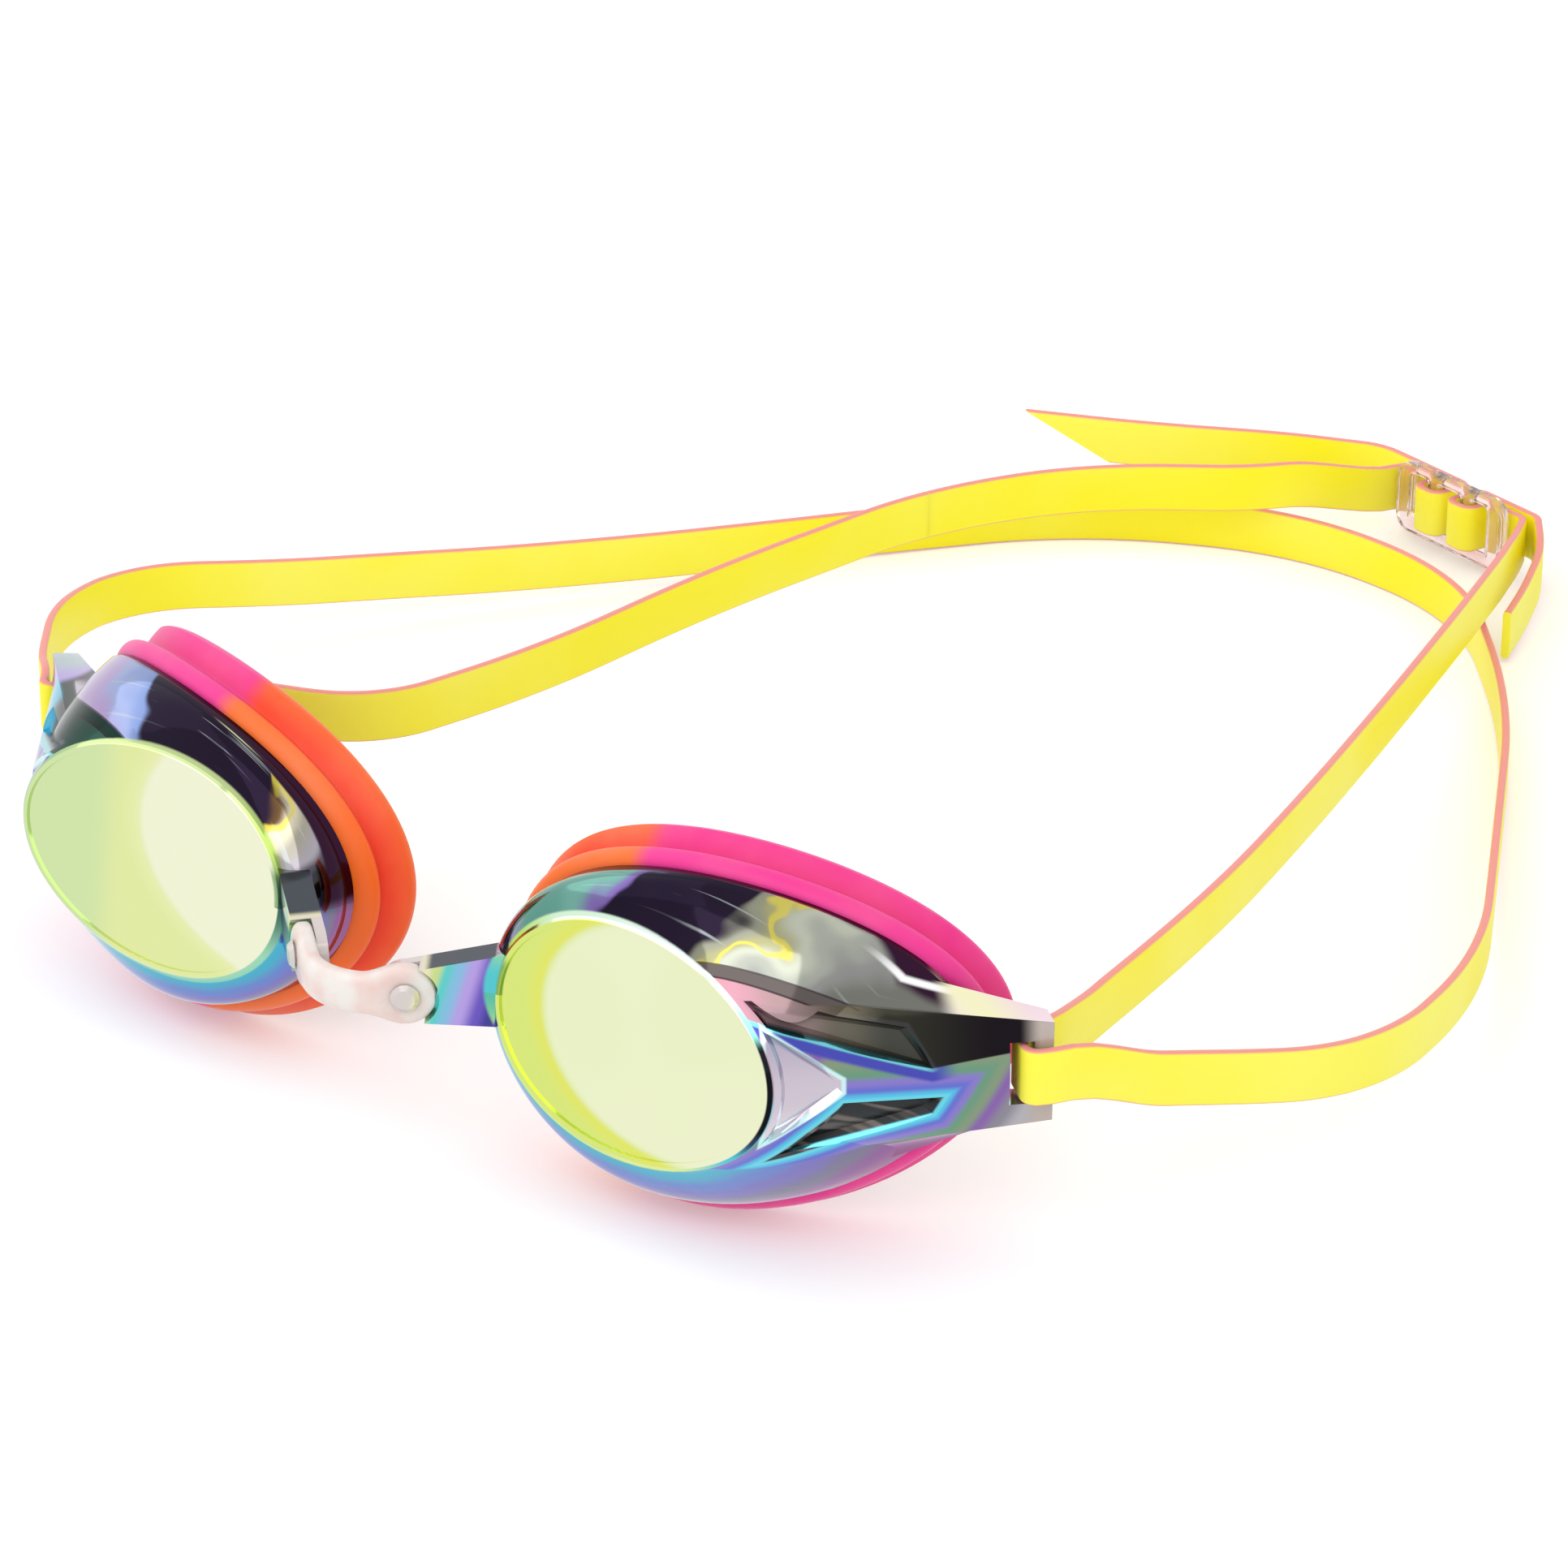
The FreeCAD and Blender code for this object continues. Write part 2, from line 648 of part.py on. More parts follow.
def add_fillet(body, name, base, chosen, radius):
    """Fillet on the base feature's edges that chosen(edge) picks."""
    edges = [i for i, edge in enumerate(base.Shape.Edges, start=1) if chosen(edge)]
    fillet = body.newObject("PartDesign::Fillet", name)
    fillet.Base = (base, ["Edge%d" % i for i in edges])
    fillet.setExpression("Radius", radius)
    doc.recompute()
    return fillet


def runs_along(edge, axis):
    """True for a straight edge parallel to an axis."""
    if edge.Curve.TypeId != "Part::GeomLine":
        return False
    return abs(abs(edge.tangentAt(edge.FirstParameter).dot(axis)) - 1) < 1e-6

# --------------------------------------------------------------- nose bridge

# The bridge's own origin is the centre of its bend, level with the posts.
ARM_ANGLE = "Dimensions.nose_arm_angle * 1 deg"
EYE_ACROSS = ("(Dimensions.lens_spacing / 2 - Dimensions.lens_half_width"
              " + Dimensions.nose_root_inset - Dimensions.nose_eye_reach * cos(%s)"
              " - Dimensions.bridge_thickness / 2 * sin(%s))" % (ARM_ANGLE, ARM_ANGLE))
BEND_RADIUS = ("((%s - Dimensions.bridge_eye_radius * cos(%s)) / sin(%s))"
               % (EYE_ACROSS, ARM_ANGLE, ARM_ANGLE))
EYE_FORWARD = ("(%s * cos(%s) - Dimensions.bridge_eye_radius * sin(%s))"
               % (BEND_RADIUS, ARM_ANGLE, ARM_ANGLE))


def bridge_outline(body):
    """Sketch from above: an arched band with a straight run at each end."""
    sketch = new_sketch(body, "BridgeOutline", "XY_Plane")
    turn = math.radians(size("nose_arm_angle"))
    half = size("bridge_thickness") / 2
    bend = value_of(BEND_RADIUS)
    run = size("bridge_eye_radius")
    front = Part.Circle(Vector(0, 0, 0), UP, bend + half)
    rear = Part.Circle(Vector(0, 0, 0), UP, bend - half)
    down = -math.pi / 2
    arcs = [sketch.addGeometry(Part.ArcOfCircle(circle, down - turn, down + turn))
            for circle in (front, rear)]
    rails = []
    for side, arc_end in ((1, 2), (-1, 1)):
        along = Vector(side * math.cos(turn), math.sin(turn), 0)
        outward = Vector(side * math.sin(turn), -math.cos(turn), 0)
        starts = [outward * (bend + half), outward * (bend - half)]
        lines = [sketch.addGeometry(Part.LineSegment(start, start + along * run))
                 for start in starts]
        end = sketch.addGeometry(Part.LineSegment(starts[0] + along * run,
                                                  starts[1] + along * run))
        for arc, line in zip(arcs, lines):
            sketch.addConstraint(Sketcher.Constraint("Tangent", arc, arc_end, line, 1))
        join_ends(sketch, [(lines[0], 2, end, 1), (lines[1], 2, end, 2)])
        sketch.addConstraint(Sketcher.Constraint("Perpendicular", lines[0], end))
        rails.append(lines[0])
    join_ends(sketch, [(arc, 3, -1, 1) for arc in arcs])
    bind(sketch, Sketcher.Constraint("Radius", arcs[0], bend + half),
         BEND_RADIUS + " + Dimensions.bridge_thickness / 2")
    bind(sketch, Sketcher.Constraint("Radius", arcs[1], bend - half),
         BEND_RADIUS + " - Dimensions.bridge_thickness / 2")
    bind(sketch, Sketcher.Constraint("Angle", rails[0], turn), ARM_ANGLE)
    bind(sketch, Sketcher.Constraint("Distance", rails[0], run), "Dimensions.bridge_eye_radius")
    sketch.addConstraint(Sketcher.Constraint("Symmetric", rails[0], 2, rails[1], 2, -2))
    return sketch


def bridge_eye_sketch(body, name, radius):
    """Circle in the middle plane of the left eye, square to its post."""
    sketch = new_sketch(body, name, "XZ_Plane")
    add_circle(sketch, radius)
    sketch.AttachmentOffset = Placement(Vector(0, 0, 0), Rotation(Vector(0, 1, 0), 1))
    sketch.setExpression("AttachmentOffset.Rotation.Angle", ARM_ANGLE)
    sketch.setExpression("AttachmentOffset.Base.x", EYE_ACROSS)
    sketch.setExpression("AttachmentOffset.Base.z", EYE_FORWARD)
    return sketch


def is_neck_corner(edge):
    """True for the inside corners between the bridge's waist and its eyes."""
    level = abs(abs(edge.CenterOfMass.z) - size("bridge_waist") / 2) < 1e-6
    return level and runs_through(edge, size("bridge_thickness"))


def is_bridge_rim(edge):
    """True for the outline of the bridge's faces, without the post holes."""
    if runs_through(edge, size("bridge_thickness")):
        return False
    if edge.Curve.TypeId == "Part::GeomCircle":
        return edge.Curve.Radius > size("post_radius") + size("bridge_gap") + 1e-6
    return edge.Curve.TypeId == "Part::GeomLine"


def runs_through(edge, thickness):
    """True for a straight edge as long as the part is thick."""
    straight = edge.Curve.TypeId == "Part::GeomLine"
    return straight and abs(edge.Length - thickness) < 1e-6


def nose_bridge():
    """Arched elastic bridge with a round eye at each end for the cups' posts."""
    body = doc.addObject("PartDesign::Body", "NoseBridge")
    add_pad(body, "BridgeArch", bridge_outline(body), "Dimensions.bridge_waist")
    outline = bridge_eye_sketch(body, "EyeOutline", "Dimensions.bridge_eye_radius")
    eye = add_pad(body, "BridgeEye", outline, "Dimensions.bridge_thickness")
    both = add_mirrored(body, "BridgeEyes", eye)
    necks = add_fillet(body, "BridgeNecks", both, is_neck_corner, "Dimensions.bridge_neck")
    add_fillet(body, "BridgeEdges", necks, is_bridge_rim, "Dimensions.bridge_round")
    outline = bridge_eye_sketch(body, "HoleOutline",
                                "Dimensions.post_radius + Dimensions.bridge_gap")
    hole = add_through_pocket(body, "PostHole", outline)
    add_mirrored(body, "PostHoles", hole)
    body.Placement = Placement(
        Vector(size("middle_plane_x"), EYE_MIDDLE.y + value_of(EYE_FORWARD), EYE_MIDDLE.z),
        Rotation(),
    )
    return body


# -------------------------------------------------------------------- buckle

SLOT_HEIGHT = "Dimensions.strap_width + Dimensions.slot_play"
BUCKLE_SPOT = on_goggles(size("buckle_x"), size("buckle_back"), 0)
BUCKLE_PLACE = Placement(
    Vector(BUCKLE_SPOT.x, BUCKLE_SPOT.y, size("buckle_strap_height") + size("strap_width") / 2),
    turned(size("buckle_turn")),
)


def is_buckle_corner(edge):
    """True for the buckle's four outer corners."""
    return runs_along(edge, Vector(0, 1, 0)) and abs(edge.CenterOfMass.x) > 0.45 * size(
        "buckle_length")


def is_slot_corner(edge):
    """True for the corners of the buckle's three slots."""
    return runs_along(edge, Vector(0, 1, 0)) and not is_buckle_corner(edge)


def is_buckle_rim(edge):
    """True for every edge in the buckle's two large faces."""
    flat = abs(abs(edge.CenterOfMass.y) - size("buckle_thickness") / 2) < 1e-6
    return flat and not runs_along(edge, Vector(0, 1, 0))


def buckle():
    """Clear plate with two end bars, two inner bars and three slots between them."""
    body = doc.addObject("PartDesign::Body", "Buckle")
    outline = new_sketch(body, "BuckleOutline", "XZ_Plane")
    add_rectangle(outline, None, "Dimensions.buckle_length", "Dimensions.buckle_height")
    add_pad(body, "BucklePlate", outline, "Dimensions.buckle_thickness")
    outline = new_sketch(body, "MiddleSlotOutline", "XZ_Plane")
    add_rectangle(outline, None, "Dimensions.buckle_middle_slot", SLOT_HEIGHT)
    add_through_pocket(body, "MiddleSlot", outline)
    outline = new_sketch(body, "SideSlotOutline", "XZ_Plane")
    add_rectangle(outline, "Dimensions.buckle_middle_slot / 2 + Dimensions.buckle_bar",
                  "Dimensions.buckle_side_slot", SLOT_HEIGHT)
    slot = add_through_pocket(body, "SideSlot", outline)
    slots = add_mirrored(body, "SideSlots", slot)
    corners = add_fillet(body, "BuckleCorners", slots, is_buckle_corner,
                         "Dimensions.buckle_corner")
    inside = add_fillet(body, "SlotCorners", corners, is_slot_corner,
                        "Dimensions.buckle_slot_corner")
    add_fillet(body, "BuckleEdges", inside, is_buckle_rim, "Dimensions.buckle_round")
    body.Placement = BUCKLE_PLACE
    return body


# --------------------------------------------------------------------- strap

# Lower edge of the strap's middle line, (x, y, height above the table), with x
# and y from the midpoint of the lens centres. These points are the strap's
# route where it lies free, from one eyelet to the other or to the buckle.
OUTER_ROUTE = [
    (78, 36, 14.6), (87.5, 63, 8), (80, 95, 4), (62, 126, 1.3), (41, 162, 0.05), (16, 190, 0.05),
    (-12, 195, 0.05), (-40, 182, 0.05), (-61, 153, 0.3), (-78, 123, 1.6), (-97, 95, 3.6),
    (-109, 70, 7.5), (-100, 49, 11.8), (-84, 31.5, 15.6),
]
LEFT_ROUTE = [
    (67.5, 31, 17.6), (64.5, 42, 15.5), (58, 75, 13.5), (50.5, 103, 12.2), (40.5, 136, 10.3),
    (30, 168, 8), (21.5, 191, 5.4),
]
RIGHT_ROUTE = [
    (-66.5, 31.5, 18.2), (-59.5, 37.5, 17.3), (-45, 48, 15.2), (-43, 75, 13.2),
    (-45, 110, 11.2), (-43, 150, 9.4), (-33, 172, 8.8), (-12, 190, 8),
]
SHORT_TAIL = [(21, 200.5, 2), (25, 190, 1), (27.3, 182.5, 0.6)]
LONG_TAIL = [(-14, 215.5, 2.9), (-26, 210, 3.2), (-42, 199.5, 3.8), (-57, 192, 4.2)]


SHORTEST_FACE = 0.3


def route_stop(x, y, height, radius=None):
    """One corner of the strap's route, with its bend radius where it is tight."""
    place = on_goggles(x, y, 0)
    return Vector(place.x, place.y, height), radius


def route_stops(points):
    """Corners of the strap where it lies free."""
    return [route_stop(*point) for point in points]


def eyelet_stops(side):
    """Corners of the strap round an eyelet's bar, from the outer leg to the inner one.

    side is 1 for the wearer's left and -1 for the right.
    """
    reach = (size("arm_thickness") + size("strap_thickness")) / 2 + size("strap_gap")
    ahead = (size("eyelet_bar") + size("strap_thickness")) / 2 + size("strap_gap")
    tight = size("strap_thickness") / 2 + size("strap_bend")
    stops = []
    for outward, along, radius in ((reach, 0.75 * ahead, None), (reach, -ahead, tight),
                                   (-reach, -ahead, tight)):
        point = arm_point(BAR_ALONG + along, BAR_OUTWARD + outward, -size("strap_width") / 2)
        if side < 0:
            point.x = 2 * size("middle_plane_x") - point.x
        stops.append((point, radius))
    return stops


def seam_stop(side):
    """Where the outer loop becomes the inner run, just behind an eyelet."""
    route = LEFT_ROUTE if side > 0 else RIGHT_ROUTE
    point = (eyelet_stops(side)[-1][0] + route_stop(*route[0])[0]) * 0.5
    return point, None


def buckle_stops(side):
    """Corners of the strap through the buckle: over, under, back up and over again.

    side is 1 for the end on the wearer's left and -1 for the other.
    """
    thick = size("strap_thickness")
    skin = (size("buckle_thickness") + thick) / 2 + size("strap_gap")
    tight = thick / 2 + size("strap_bend")
    end = size("buckle_length") / 2 + thick / 2 + 2.5 * size("strap_gap")
    inner_bar = size("buckle_middle_slot") / 2 + size("buckle_bar")
    entry = inner_bar + thick / 2 + size("strap_gap")
    centre = size("buckle_middle_slot") / 2 - thick / 2 - size("strap_gap")
    layer = thick + size("layer_gap")
    stops = []
    for along, outward, radius in ((end, skin, tight), (entry, skin, tight),
                                   (entry, -skin, tight), (centre, -skin, tight),
                                   (centre, skin + layer, tight),
                                   (end + layer / 2, skin + layer, 2 * tight)):
        point = BUCKLE_PLACE.multVec(Vector(side * along, outward, 0))
        point.z -= size("strap_width") / 2
        stops.append((point, radius))
    return stops


def bend_at(before, corner, after, radius):
    """A rounded corner in plan: where it starts, its heading, arm, radius and turn.

    Without a radius the bend takes nearly half of the shorter run beside it.
    """
    inward = Vector(corner.x - before.x, corner.y - before.y, 0)
    outward = Vector(after.x - corner.x, after.y - corner.y, 0)
    room = 0.48 * min(inward.Length, outward.Length)
    inward.normalize()
    outward.normalize()
    turn = math.atan2(inward.cross(outward).z, inward.dot(outward))
    half = math.tan(abs(turn) / 2)
    if radius is None:
        radius = room / half
    start = Vector(corner.x, corner.y, 0) - inward * (radius * half)
    arm = UP.cross(inward) * math.copysign(radius, turn)
    return start, inward, arm, radius, turn


def add_straight(samples, end, heading):
    """Carry the samples on along a straight run, closer together at its ends."""
    here, _, walked, _ = samples[-1]
    length = (end - here).Length
    steps = 6 if length > 0.1 else 1
    for i in range(1, steps + 1):
        share = (1 - math.cos(math.pi * i / steps)) / 2
        samples.append((here + (end - here) * share, heading, walked + length * share, None))


def plan_samples(stops):
    """Points along the strap's middle line in plan.

    Gives (point, heading, distance, knot), where knot is the strap's height at
    the middle of each bend and at the two ends, and None elsewhere, and the
    distances at which bends start and end.
    """
    first, second, last = stops[0][0], stops[1][0], stops[-1][0]
    heading = Vector(second.x - first.x, second.y - first.y, 0).normalize()
    samples = [(Vector(first.x, first.y, 0), heading, 0.0, first.z)]
    breaks = []
    for i in range(1, len(stops) - 1):
        corner, radius = stops[i]
        start, inward, arm, radius, turn = bend_at(stops[i - 1][0], corner, stops[i + 1][0],
                                                   radius)
        add_straight(samples, start, inward)
        walked = samples[-1][2]
        breaks += [walked, walked + radius * abs(turn)]
        steps = 2 * max(1, math.ceil(abs(turn) / math.radians(30)))
        for j in range(1, steps + 1):
            spun = Rotation(UP, math.degrees(turn * j / steps))
            knot = corner.z if 2 * j == steps else None
            samples.append((start + arm - spun.multVec(arm), spun.multVec(inward),
                            walked + radius * abs(turn) * j / steps, knot))
    add_straight(samples, Vector(last.x, last.y, 0), samples[-1][1])
    point, heading, walked, _ = samples[-1]
    samples[-1] = (point, heading, walked, last.z)
    breaks = [0.0] + [after for before, after in zip([0.0] + breaks, breaks)
                      if after - before > SHORTEST_FACE] + [walked]
    return samples, breaks


def height_at(knots, distance):
    """Height of the strap's lower edge, smooth through the knots (distance, height)."""
    last = len(knots) - 2
    i = next((k for k in range(last) if distance <= knots[k + 1][0]), last)
    (start, low), (end, high) = knots[i], knots[i + 1]
    gap = end - start
    share = (distance - start) / gap
    rise = (high - low) / gap
    before = (low - knots[i - 1][1]) / (start - knots[i - 1][0]) if i > 0 else rise
    after = (knots[i + 2][1] - high) / (knots[i + 2][0] - end) if i < last else rise
    leave = gentle_slope(before, rise)
    arrive = gentle_slope(rise, after)
    square = share * share
    cube = square * share
    return (low * (2 * cube - 3 * square + 1) + high * (3 * square - 2 * cube)
            + gap * leave * (cube - 2 * square + share) + gap * arrive * (cube - square))


def gentle_slope(before, after):
    """Slope at a knot that never overshoots: zero where the slope changes sign."""
    if before * after <= 0:
        return 0.0
    return 2 * before * after / (before + after)


def strap_band(stops):
    """Flat band that stands on its edge along the stops."""
    samples, breaks = plan_samples(stops)
    knots = [(walked, knot) for _, _, walked, knot in samples if knot is not None]
    half = size("strap_thickness") / 2
    curves = []
    for side, rise in ((half, 0), (half, 1), (-half, 1), (-half, 0)):
        points = []
        for point, heading, walked, _ in samples:
            level = height_at(knots, walked) + rise * size("strap_width")
            across = UP.cross(heading) * side
            points.append(Vector(point.x + across.x, point.y + across.y, level))
        curve = Part.BSplineCurve()
        curve.interpolate(Points=points, Parameters=[walked for _, _, walked, _ in samples])
        curves.append(curve)
    faces = []
    for i in range(4):
        for start, end in zip(breaks, breaks[1:]):
            pair = [curves[i].copy(), curves[(i + 1) % 4].copy()]
            for curve in pair:
                curve.segment(start, end)
            side = pair[0].makeRuledSurface(pair[1])
            side.exchangeUV()
            faces.append(side.toShape())
    for corners in ([curve.StartPoint for curve in curves], [curve.EndPoint for curve in curves]):
        faces.append(Part.Face(Part.makePolygon(corners + corners[:1])))
    return sewn_solid(faces)


def slanted_cut(stops):
    """Wedge that cuts the strap's end at a slant, the lower corner first."""
    end = stops[-1][0]
    back = stops[-2][0] - end
    back.z = 0
    back.normalize()
    wide = size("strap_width")
    low = end - UP * (0.1 * wide)
    high = end + UP * (1.2 * wide)
    across = UP.cross(back) * (2 * size("strap_thickness"))
    outline = Part.makePolygon([point - across for point in (
        low + back * size("strap_bevel"), high, high - back, low - back,
        low + back * size("strap_bevel"))])
    return Part.Face(outline).extrude(across * 2)


def strap_outer_loop():
    """The outer loop, with the turn round each eyelet's bar."""
    return strap_band([seam_stop(1)] + eyelet_stops(1)[::-1] + route_stops(OUTER_ROUTE)
                      + eyelet_stops(-1) + [seam_stop(-1)])


def strap_left_run():
    """From the left eyelet through the buckle to the short tail."""
    return strap_band([seam_stop(1)] + route_stops(LEFT_ROUTE) + buckle_stops(1)
                      + route_stops(SHORT_TAIL))


def strap_right_run():
    """From the right eyelet through the buckle to the long tail, cut at a slant."""
    tail = route_stops(LONG_TAIL)
    band = strap_band([seam_stop(-1)] + route_stops(RIGHT_ROUTE) + buckle_stops(-1) + tail)
    return band.cut(slanted_cut(tail)).Solids[0]


# -------------------------------------------------------------- whole goggles


def add_mirror_image(name, source):
    """The wearer's right twin of a part on the left."""
    twin = doc.addObject("Part::Mirroring", name)
    twin.Source = source
    twin.Normal = Vector(1, 0, 0)
    twin.setExpression("Base.x", "Dimensions.middle_plane_x")
    return twin


def build():
    """Every separate piece, by node name."""
    parts = {"nose_bridge": nose_bridge(), "buckle": buckle()}
    gasket = gasket_ring()
    for node, shape in (("lens_cup", left_cup()),
                        ("gasket_temple", gasket.common(colour_block(1)).Solids[0]),
                        ("gasket_nose", gasket.common(colour_block(-1)).Solids[0])):
        left = add_shape("left_" + node, shape)
        parts["left_" + node] = left
        parts["right_" + node] = add_mirror_image("right_" + node, left)
    for node, shape in (("strap_outer_loop", strap_outer_loop()),
                        ("strap_left_run", strap_left_run()),
                        ("strap_right_run", strap_right_run())):
        parts[node] = add_shape(node, shape)
    for node, part in parts.items():
        part.Label = node
    doc.recompute()
    return parts


def check(parts):
    """Stop when a feature has failed or a part is not one sound solid."""
    for item in doc.Objects:
        if {"Invalid", "Error"} & set(item.State):
            raise RuntimeError(item.Name + " has failed")
    for node, part in parts.items():
        shape = part.Shape
        if shape.isNull() or not shape.isValid() or len(shape.Solids) != 1:
            raise RuntimeError(node + " is not one sound solid")


goggles = build()
check(goggles)
os.makedirs("parts", exist_ok=True)
for node, part in goggles.items():
    part.Shape.exportStep("parts/%s.step" % node)
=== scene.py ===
import math

import bpy
import numpy as np
from bpy.props import FloatProperty, FloatVectorProperty, PointerProperty
from mathutils import Euler, Matrix, Vector


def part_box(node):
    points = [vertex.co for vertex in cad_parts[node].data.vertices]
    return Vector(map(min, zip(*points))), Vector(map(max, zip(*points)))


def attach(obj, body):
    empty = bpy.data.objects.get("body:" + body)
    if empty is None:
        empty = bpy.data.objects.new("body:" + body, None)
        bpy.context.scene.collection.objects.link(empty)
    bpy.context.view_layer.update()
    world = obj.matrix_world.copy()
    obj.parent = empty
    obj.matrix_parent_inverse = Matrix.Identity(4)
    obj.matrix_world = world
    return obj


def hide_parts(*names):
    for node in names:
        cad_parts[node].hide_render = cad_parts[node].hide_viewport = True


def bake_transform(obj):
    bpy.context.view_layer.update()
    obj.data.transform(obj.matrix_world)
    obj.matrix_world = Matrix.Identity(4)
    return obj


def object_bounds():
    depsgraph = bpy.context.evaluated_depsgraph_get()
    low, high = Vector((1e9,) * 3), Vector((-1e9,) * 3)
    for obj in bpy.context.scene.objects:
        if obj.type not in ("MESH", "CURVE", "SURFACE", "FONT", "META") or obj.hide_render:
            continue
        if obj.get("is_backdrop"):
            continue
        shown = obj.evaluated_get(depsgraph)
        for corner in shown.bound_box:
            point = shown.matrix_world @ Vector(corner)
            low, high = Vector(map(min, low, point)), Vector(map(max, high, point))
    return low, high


bl_info = {
    "name": "Racing Swim Goggles",
    "version": (1, 0, 0),
    "blender": (4, 5, 0),
    "location": "View3D > Sidebar > Goggles",
    "description": "Dresses the packed swim goggles: gaskets, nose bridge, strap and finishes",
    "category": "Object",
}

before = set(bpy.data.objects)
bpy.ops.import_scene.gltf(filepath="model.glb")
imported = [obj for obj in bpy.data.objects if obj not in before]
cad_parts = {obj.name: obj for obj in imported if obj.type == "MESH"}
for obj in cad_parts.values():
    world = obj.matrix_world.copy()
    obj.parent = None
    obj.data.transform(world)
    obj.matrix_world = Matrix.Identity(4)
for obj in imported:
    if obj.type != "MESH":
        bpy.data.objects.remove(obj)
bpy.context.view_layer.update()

MM = 0.001

# The goggles' own middle plane, and the midpoint of the two lens centres, which
# all of the goggles' sizes are measured from, in mm. Shapes are worked out in
# millimetres, and made in metres.
MIDDLE_X = (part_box("left_lens_cup")[0].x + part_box("right_lens_cup")[1].x) / 2 / MM
FIT_ORIGIN = np.array([MIDDLE_X, -103.3, 21.8])
LEFT = 1
RIGHT = -1
SIDES = {"left": LEFT, "right": RIGHT}


def length(label, default, description):
    """A length that a user may change. default is in millimetres."""
    return FloatProperty(name=label, description=description, default=default * MM,
                         unit="LENGTH", precision=5)


def angle(label, default, description):
    """An angle that a user may change. default is in degrees."""
    return FloatProperty(name=label, description=description, default=math.radians(default),
                         unit="ROTATION")


def colour(label, default, description):
    """A colour that a user may change, written as a web colour."""
    return FloatVectorProperty(name=label, description=description, default=web(default),
                               subtype="COLOR", size=4, min=0, max=1)


def web(code):
    """Linear red, green, blue and alpha of a six-digit web colour."""
    shares = [int(code[i:i + 2], 16) / 255 for i in (0, 2, 4)]
    linear = [s / 12.92 if s <= 0.04045 else ((s + 0.055) / 1.055) ** 2.4 for s in shares]
    return (*linear, 1.0)


class GogglesCupSizes(bpy.types.PropertyGroup):
    """Sizes of the ovals that the lens, cup and gasket follow."""
    lens_spacing: length("Lens Spacing", 70, "Distance between the lens centres")
    lens_half_width: length("Lens Half Width", 19.5, "Lens outline")
    lens_half_height: length("Lens Half Height", 13, "Lens outline")
    lens_tilt: angle("Lens Tilt", 7.1, "Top of each lens leans back")
    lens_turn: angle("Lens Turn", -2, "Temple side of each lens comes forward")
    lens_roll: angle("Lens Roll", 1.3, "Temple end of each lens is raised")
    oval_egg: FloatProperty(name="Egg Shape", default=0.06, subtype="FACTOR",
                            description="Ovals are taller on the nose side by this share")
    flange_half_width: length("Flange Half Width", 26.8, "Outline of the cup's rear flange")
    flange_half_height: length("Flange Half Height", 18.2, "Outline of the cup's rear flange")
    flange_out: length("Flange Outwards", 3.75, "Flange centre towards the temple")
    flange_back: length("Flange Back", 12.2, "Gasket lip plane behind the lens centre")
    flange_drop: length("Flange Drop", 0.75, "Flange centre below the lens centre")
    flange_forward: length("Flange Forward", 6.2, "Flange in front of the gasket lip plane")
    flange_thickness: length("Flange Thickness", 0.9, "Rear flange")
    face_turn: angle("Face Turn", 15.4, "Gasket plane turns back towards the temple")
    face_tilt: angle("Face Tilt", 6, "Gasket plane leans back at the top")
    face_roll: angle("Face Roll", 2.1, "Temple end of the gasket is raised")
    face_wrap: length("Face Wrap Radius", 40.3, "Gasket wraps round the face")


class GogglesGasketSizes(bpy.types.PropertyGroup):
    """Sizes across the silicone gasket."""
    seat_gap: length("Seat Gap", 0.08, "Gasket from the flange it is bonded to")
    opening: length("Front Opening", 3.3, "Gasket's front opening inside the flange edge")
    bead_height: length("Bead Height", 1.15, "Front bead stands out of the flange edge")
    bead_length: length("Bead Length", 2.2, "Front bead along the gasket's depth")
    lip_spread_width: length("Lip Spread Width", 1.65, "Lip is wider than the flange")
    lip_spread_height: length("Lip Spread Height", 2.8, "Lip is taller than the flange")
    lip_rear: length("Lip Rear", 1.9, "Lip's rear edge behind its widest line")
    lip_length: length("Lip Length", 4, "Lip along the gasket's depth")
    lip_width: length("Lip Width", 3.2, "Lip, from its widest line to its opening")
    colour_split: length("Colour Split", -9.5, "Where the two colours meet")
    colour_blend: length("Colour Blend", 3, "Width over which the two colours run together")


class GogglesColours(bpy.types.PropertyGroup):
    """Colours of the goggles."""
    pink: colour("Temple Silicone", "EE2E94", "Temple side of the gaskets")
    orange: colour("Nose Silicone", "FB6E1A", "Nose side of the gaskets")
    # Painted shade in the groove: a darker, deeper orange.
    groove: colour("Groove", "F2420C", "Deep part of the orange silicone")
    strap: colour("Strap", "FFF21A", "Wide faces of the strap")
    strap_edge: colour("Strap Edge", "EE948C", "Thin edges of the strap")
    bridge: colour("Nose Bridge", "F1EEEA", "Milky elastomer of the nose bridge")


class GogglesBridgeSizes(bpy.types.PropertyGroup):
    """Sizes of the nose bridge and of the nose arms that it joins."""
    root_inset: length("Root Inset", 0.4, "Nose arm starts inside the lens rim")
    root_back: length("Root Back", 1, "Nose arm starts behind the lens line")
    arm_angle: angle("Arm Angle", 38, "Nose arms turn forward from the lens line")
    eye_radius: length("Eye Radius", 3.5, "Round ends of the bridge")
    waist: length("Waist", 4.6, "Height of the bridge between its ends")
    neck: length("Neck", 2.6, "Length over which the waist widens to an eye")
    thickness: length("Thickness", 2.2, "Nose bridge")


